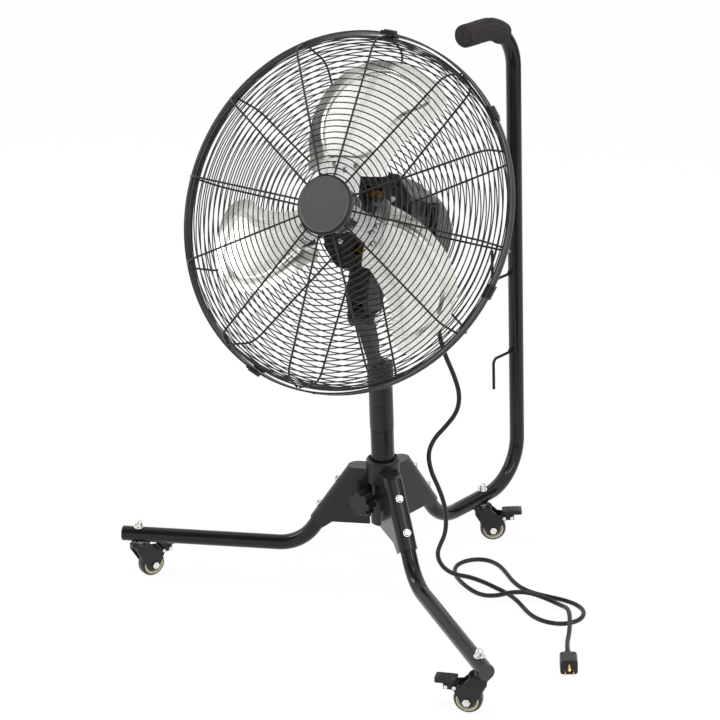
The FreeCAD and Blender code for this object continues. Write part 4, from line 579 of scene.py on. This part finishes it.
def add_grip():
    """A foam sleeve over the handle's end, with rolled ends and a slightly uneven skin."""
    reach, top, bend, outside, end = 0.3534, 0.8925, 0.075, 0.019, 0.223
    middle_y, middle_z = reach - bend, top - bend
    path = []
    arc_steps = 44
    arc_start = 51.0
    for step in range(arc_steps + 1):
        turn = math.radians(arc_start + (90.0 - arc_start) * step / arc_steps)
        path.append(Vector((0.0, middle_y + bend * math.cos(turn), middle_z + bend * math.sin(turn))))
    run_steps = 36
    for step in range(1, run_steps + 1):
        path.append(Vector((0.0, middle_y + (end - middle_y) * step / run_steps, top)))
    far = [0.0]
    for before, after in zip(path, path[1:]):
        far.append(far[-1] + (after - before).length)
    roll = 0.005
    radius = []
    for distance in far:
        rest = min(distance, far[-1] - distance)
        inset = max(1.0 - rest / roll, 0.0)
        radius.append(outside - roll * (1.0 - math.sqrt(max(1.0 - inset * inset, 0.0))))
    sides = 48
    rings = tube_rings(path, radius, sides)
    points = []
    for centre, ring in zip(path, rings):
        for point in ring:
            wave = noise.noise(point * 90.0) * 0.00035 + noise.noise(point * 420.0) * 0.00012
            points.append(point + (point - centre).normalized() * (wave - 0.0003))
    faces = grid_faces(len(rings), sides)
    for last, sense in ((0, -1), (len(rings) - 1, 1)):
        rim = list(range(last * sides, last * sides + sides))
        shares = (0.72, 0.4)
        centre = path[last]
        dish = (path[last] - path[last - sense]).normalized() * 0.0006
        for share in shares:
            ring = [len(points) + step for step in range(sides)]
            for step in range(sides):
                points.append(centre + (points[last * sides + step] - centre) * share + dish * (1.0 - share))
            for step in range(sides):
                following = (step + 1) % sides
                quad = (rim[step], rim[following], ring[following], ring[step])
                faces.append(quad if sense > 0 else tuple(reversed(quad)))
            rim = ring
        points.append(centre + dish)
        for step in range(sides):
            corner = (rim[step], rim[(step + 1) % sides], len(points) - 1)
            faces.append(corner if sense > 0 else tuple(reversed(corner)))
    piece = add_mesh("foam_grip", points, faces, FINISH["grip_foam"])
    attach(piece, "base")
    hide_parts("handle_grip")


add_grip()


# Coil heads

def add_windings():
    """Two heads of wound wire, each a bundle of slightly wavy turns."""
    points = []
    faces = []
    turns, stations, sides, wire, bundle, ring = 18, 72, 6, 0.0011, 0.0064, 0.047
    for spot, sense in ((0.102, -1.0), (0.140, 1.0)):
        for turn in range(turns):
            around = math.pi * (turn + 0.5) / turns
            phase = 2.4 * turn
            path = []
            for station in range(stations):
                angle = 2.0 * math.pi * station / stations
                wave = 0.0006 * math.sin(8.0 * angle + phase)
                reach = ring + (bundle + wave) * math.cos(around + 0.12 * math.sin(4.0 * angle + phase))
                along = spot + sense * (bundle + wave) * math.sin(around)
                path.append(HEAD @ Vector((reach * math.cos(angle), along, reach * math.sin(angle))))
            first = len(points)
            for station in range(stations):
                way = (path[(station + 1) % stations] - path[station - 1]).normalized()
                side = way.cross(HEAD.to_3x3() @ Vector((0.0, 1.0, 0.0))).normalized()
                other = way.cross(side)
                for step in range(sides):
                    swing = 2.0 * math.pi * step / sides
                    points.append(path[station] + (side * math.cos(swing) + other * math.sin(swing)) * wire)
            for station in range(stations):
                here = first + station * sides
                there = first + (station + 1) % stations * sides
                for step in range(sides):
                    following = (step + 1) % sides
                    faces.append((here + step, here + following, there + following, there + step))
    piece = add_mesh("coil_heads", points, faces, FINISH["copper"])
    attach(piece, "head")
    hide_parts("motor_windings")


add_windings()


# Casters

# Each caster's leg direction and heading in degrees, and its reach from the column.
CASTERS = {"left": (210.0, 76.0, 0.422), "front": (330.0, 207.0, 0.422), "rear": (90.0, 42.0, 0.254)}
WHEEL_RADIUS = 0.022
CASTER_TRAIL = 0.018


def caster_frame(side):
    """The frame of a caster: origin on the floor below its stem, X along its trail, Y along its axle."""
    leg, heading, reach = CASTERS[side]
    spot = Vector((reach * math.cos(math.radians(leg)), reach * math.sin(math.radians(leg)), 0.0))
    return Matrix.Translation(spot) @ Matrix.Rotation(math.radians(heading), 4, "Z")


def wheel_material(side):
    """A moulded wheel: dark core inside a cream ring, set out from the axle."""
    place = caster_frame(side)
    centre = place @ Vector((CASTER_TRAIL, 0.0, WHEEL_RADIUS))
    axle = place.to_3x3() @ Vector((0.0, 1.0, 0.0))
    material = make_material("wheel_core_" + side, (0.02, 0.02, 0.021), (0.3, 0.42), specular=0.4,
                             patch=200.0)
    tree = material.node_tree
    where = tree.nodes.new("ShaderNodeTexCoord")
    away = tree.nodes.new("ShaderNodeVectorMath")
    away.operation = "SUBTRACT"
    away.inputs[1].default_value = centre
    square = tree.nodes.new("ShaderNodeVectorMath")
    square.operation = "CROSS_PRODUCT"
    square.inputs[1].default_value = axle
    size = tree.nodes.new("ShaderNodeVectorMath")
    size.operation = "LENGTH"
    share = tree.nodes.new("ShaderNodeMath")
    share.operation = "DIVIDE"
    share.inputs[1].default_value = WHEEL_RADIUS
    ramp = tree.nodes.new("ShaderNodeValToRGB")
    ramp.color_ramp.elements[0].position = 0.58
    ramp.color_ramp.elements[0].color = (0.016, 0.016, 0.017, 1.0)
    ramp.color_ramp.elements[1].position = 0.63
    ramp.color_ramp.elements[1].color = (0.8, 0.71, 0.5, 1.0)
    blend = tree.nodes.new("ShaderNodeMix")
    blend.data_type = "RGBA"
    blend.blend_type = "MULTIPLY"
    blend.inputs["Factor"].default_value = 1.0
    tree.links.new(where.outputs["Object"], away.inputs[0])
    tree.links.new(away.outputs[0], square.inputs[0])
    tree.links.new(square.outputs[0], size.inputs[0])
    tree.links.new(size.outputs["Value"], share.inputs[0])
    tree.links.new(share.outputs[0], ramp.inputs[0])
    speckle = mix_colours(tree, noise_value(tree, where.outputs["Object"], 300.0, 0.0, 1.0),
                          (0.86, 0.85, 0.82), (1.0, 1.0, 1.0))
    tree.links.new(ramp.outputs["Color"], blend.inputs[6])
    tree.links.new(speckle, blend.inputs[7])
    shader = tree.nodes["Principled BSDF"]
    tree.links.new(blend.outputs[2], shader.inputs["Base Color"])
    return material


PEDAL_PINS = (0.0370, 0.0500)
PEDAL_PIN_HEIGHT = 0.0430
PEDAL_PIN_FACES = (0.0139, 0.0127)


def add_rivets(side):
    """Bright domed rivet heads on both sides of a caster's pedal."""
    place = caster_frame(side)
    sides = 20
    rings = ((0.0032, -0.0003), (0.0032, 0.0005), (0.0026, 0.0012), (0.0014, 0.0016))
    points = []
    faces = []
    for along, seat in zip(PEDAL_PINS, PEDAL_PIN_FACES):
        for out in (-1.0, 1.0):
            first = len(points)
            for radius, high in rings:
                for step in range(sides):
                    angle = 2.0 * math.pi * step / sides
                    points.append(place @ Vector((along + radius * math.cos(angle), out * (seat + high),
                                                  PEDAL_PIN_HEIGHT + out * radius * math.sin(angle))))
            for row in range(len(rings) - 1):
                for step in range(sides):
                    a = first + row * sides + step
                    b = first + row * sides + (step + 1) % sides
                    faces.append((a, a + sides, b + sides, b))
            last = first + (len(rings) - 1) * sides
            faces.append(tuple(range(last + sides - 1, last - 1, -1)))
            faces.append(tuple(range(first, first + sides)))
    piece = add_mesh("pedal_rivets_" + side, points, faces, FINISH["zinc"])
    crease_edges(piece)
    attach(piece, "brake_" + side)


for side in CASTERS:
    add_rivets(side)


# Finishes of the CAD nodes

OWN_FINISH = {"leg_end_caps": "cap_grey"}
for part in frame["record"]["subparts"]:
    node = nodes[part["node"]]
    slot = part["material_slot"]
    if slot == "wheel_core":
        finish = wheel_material(part["node"].rsplit("_", 1)[1])
    else:
        finish = FINISH[OWN_FINISH.get(part["node"], slot)]
    node.data.materials.clear()
    node.data.materials.append(finish)
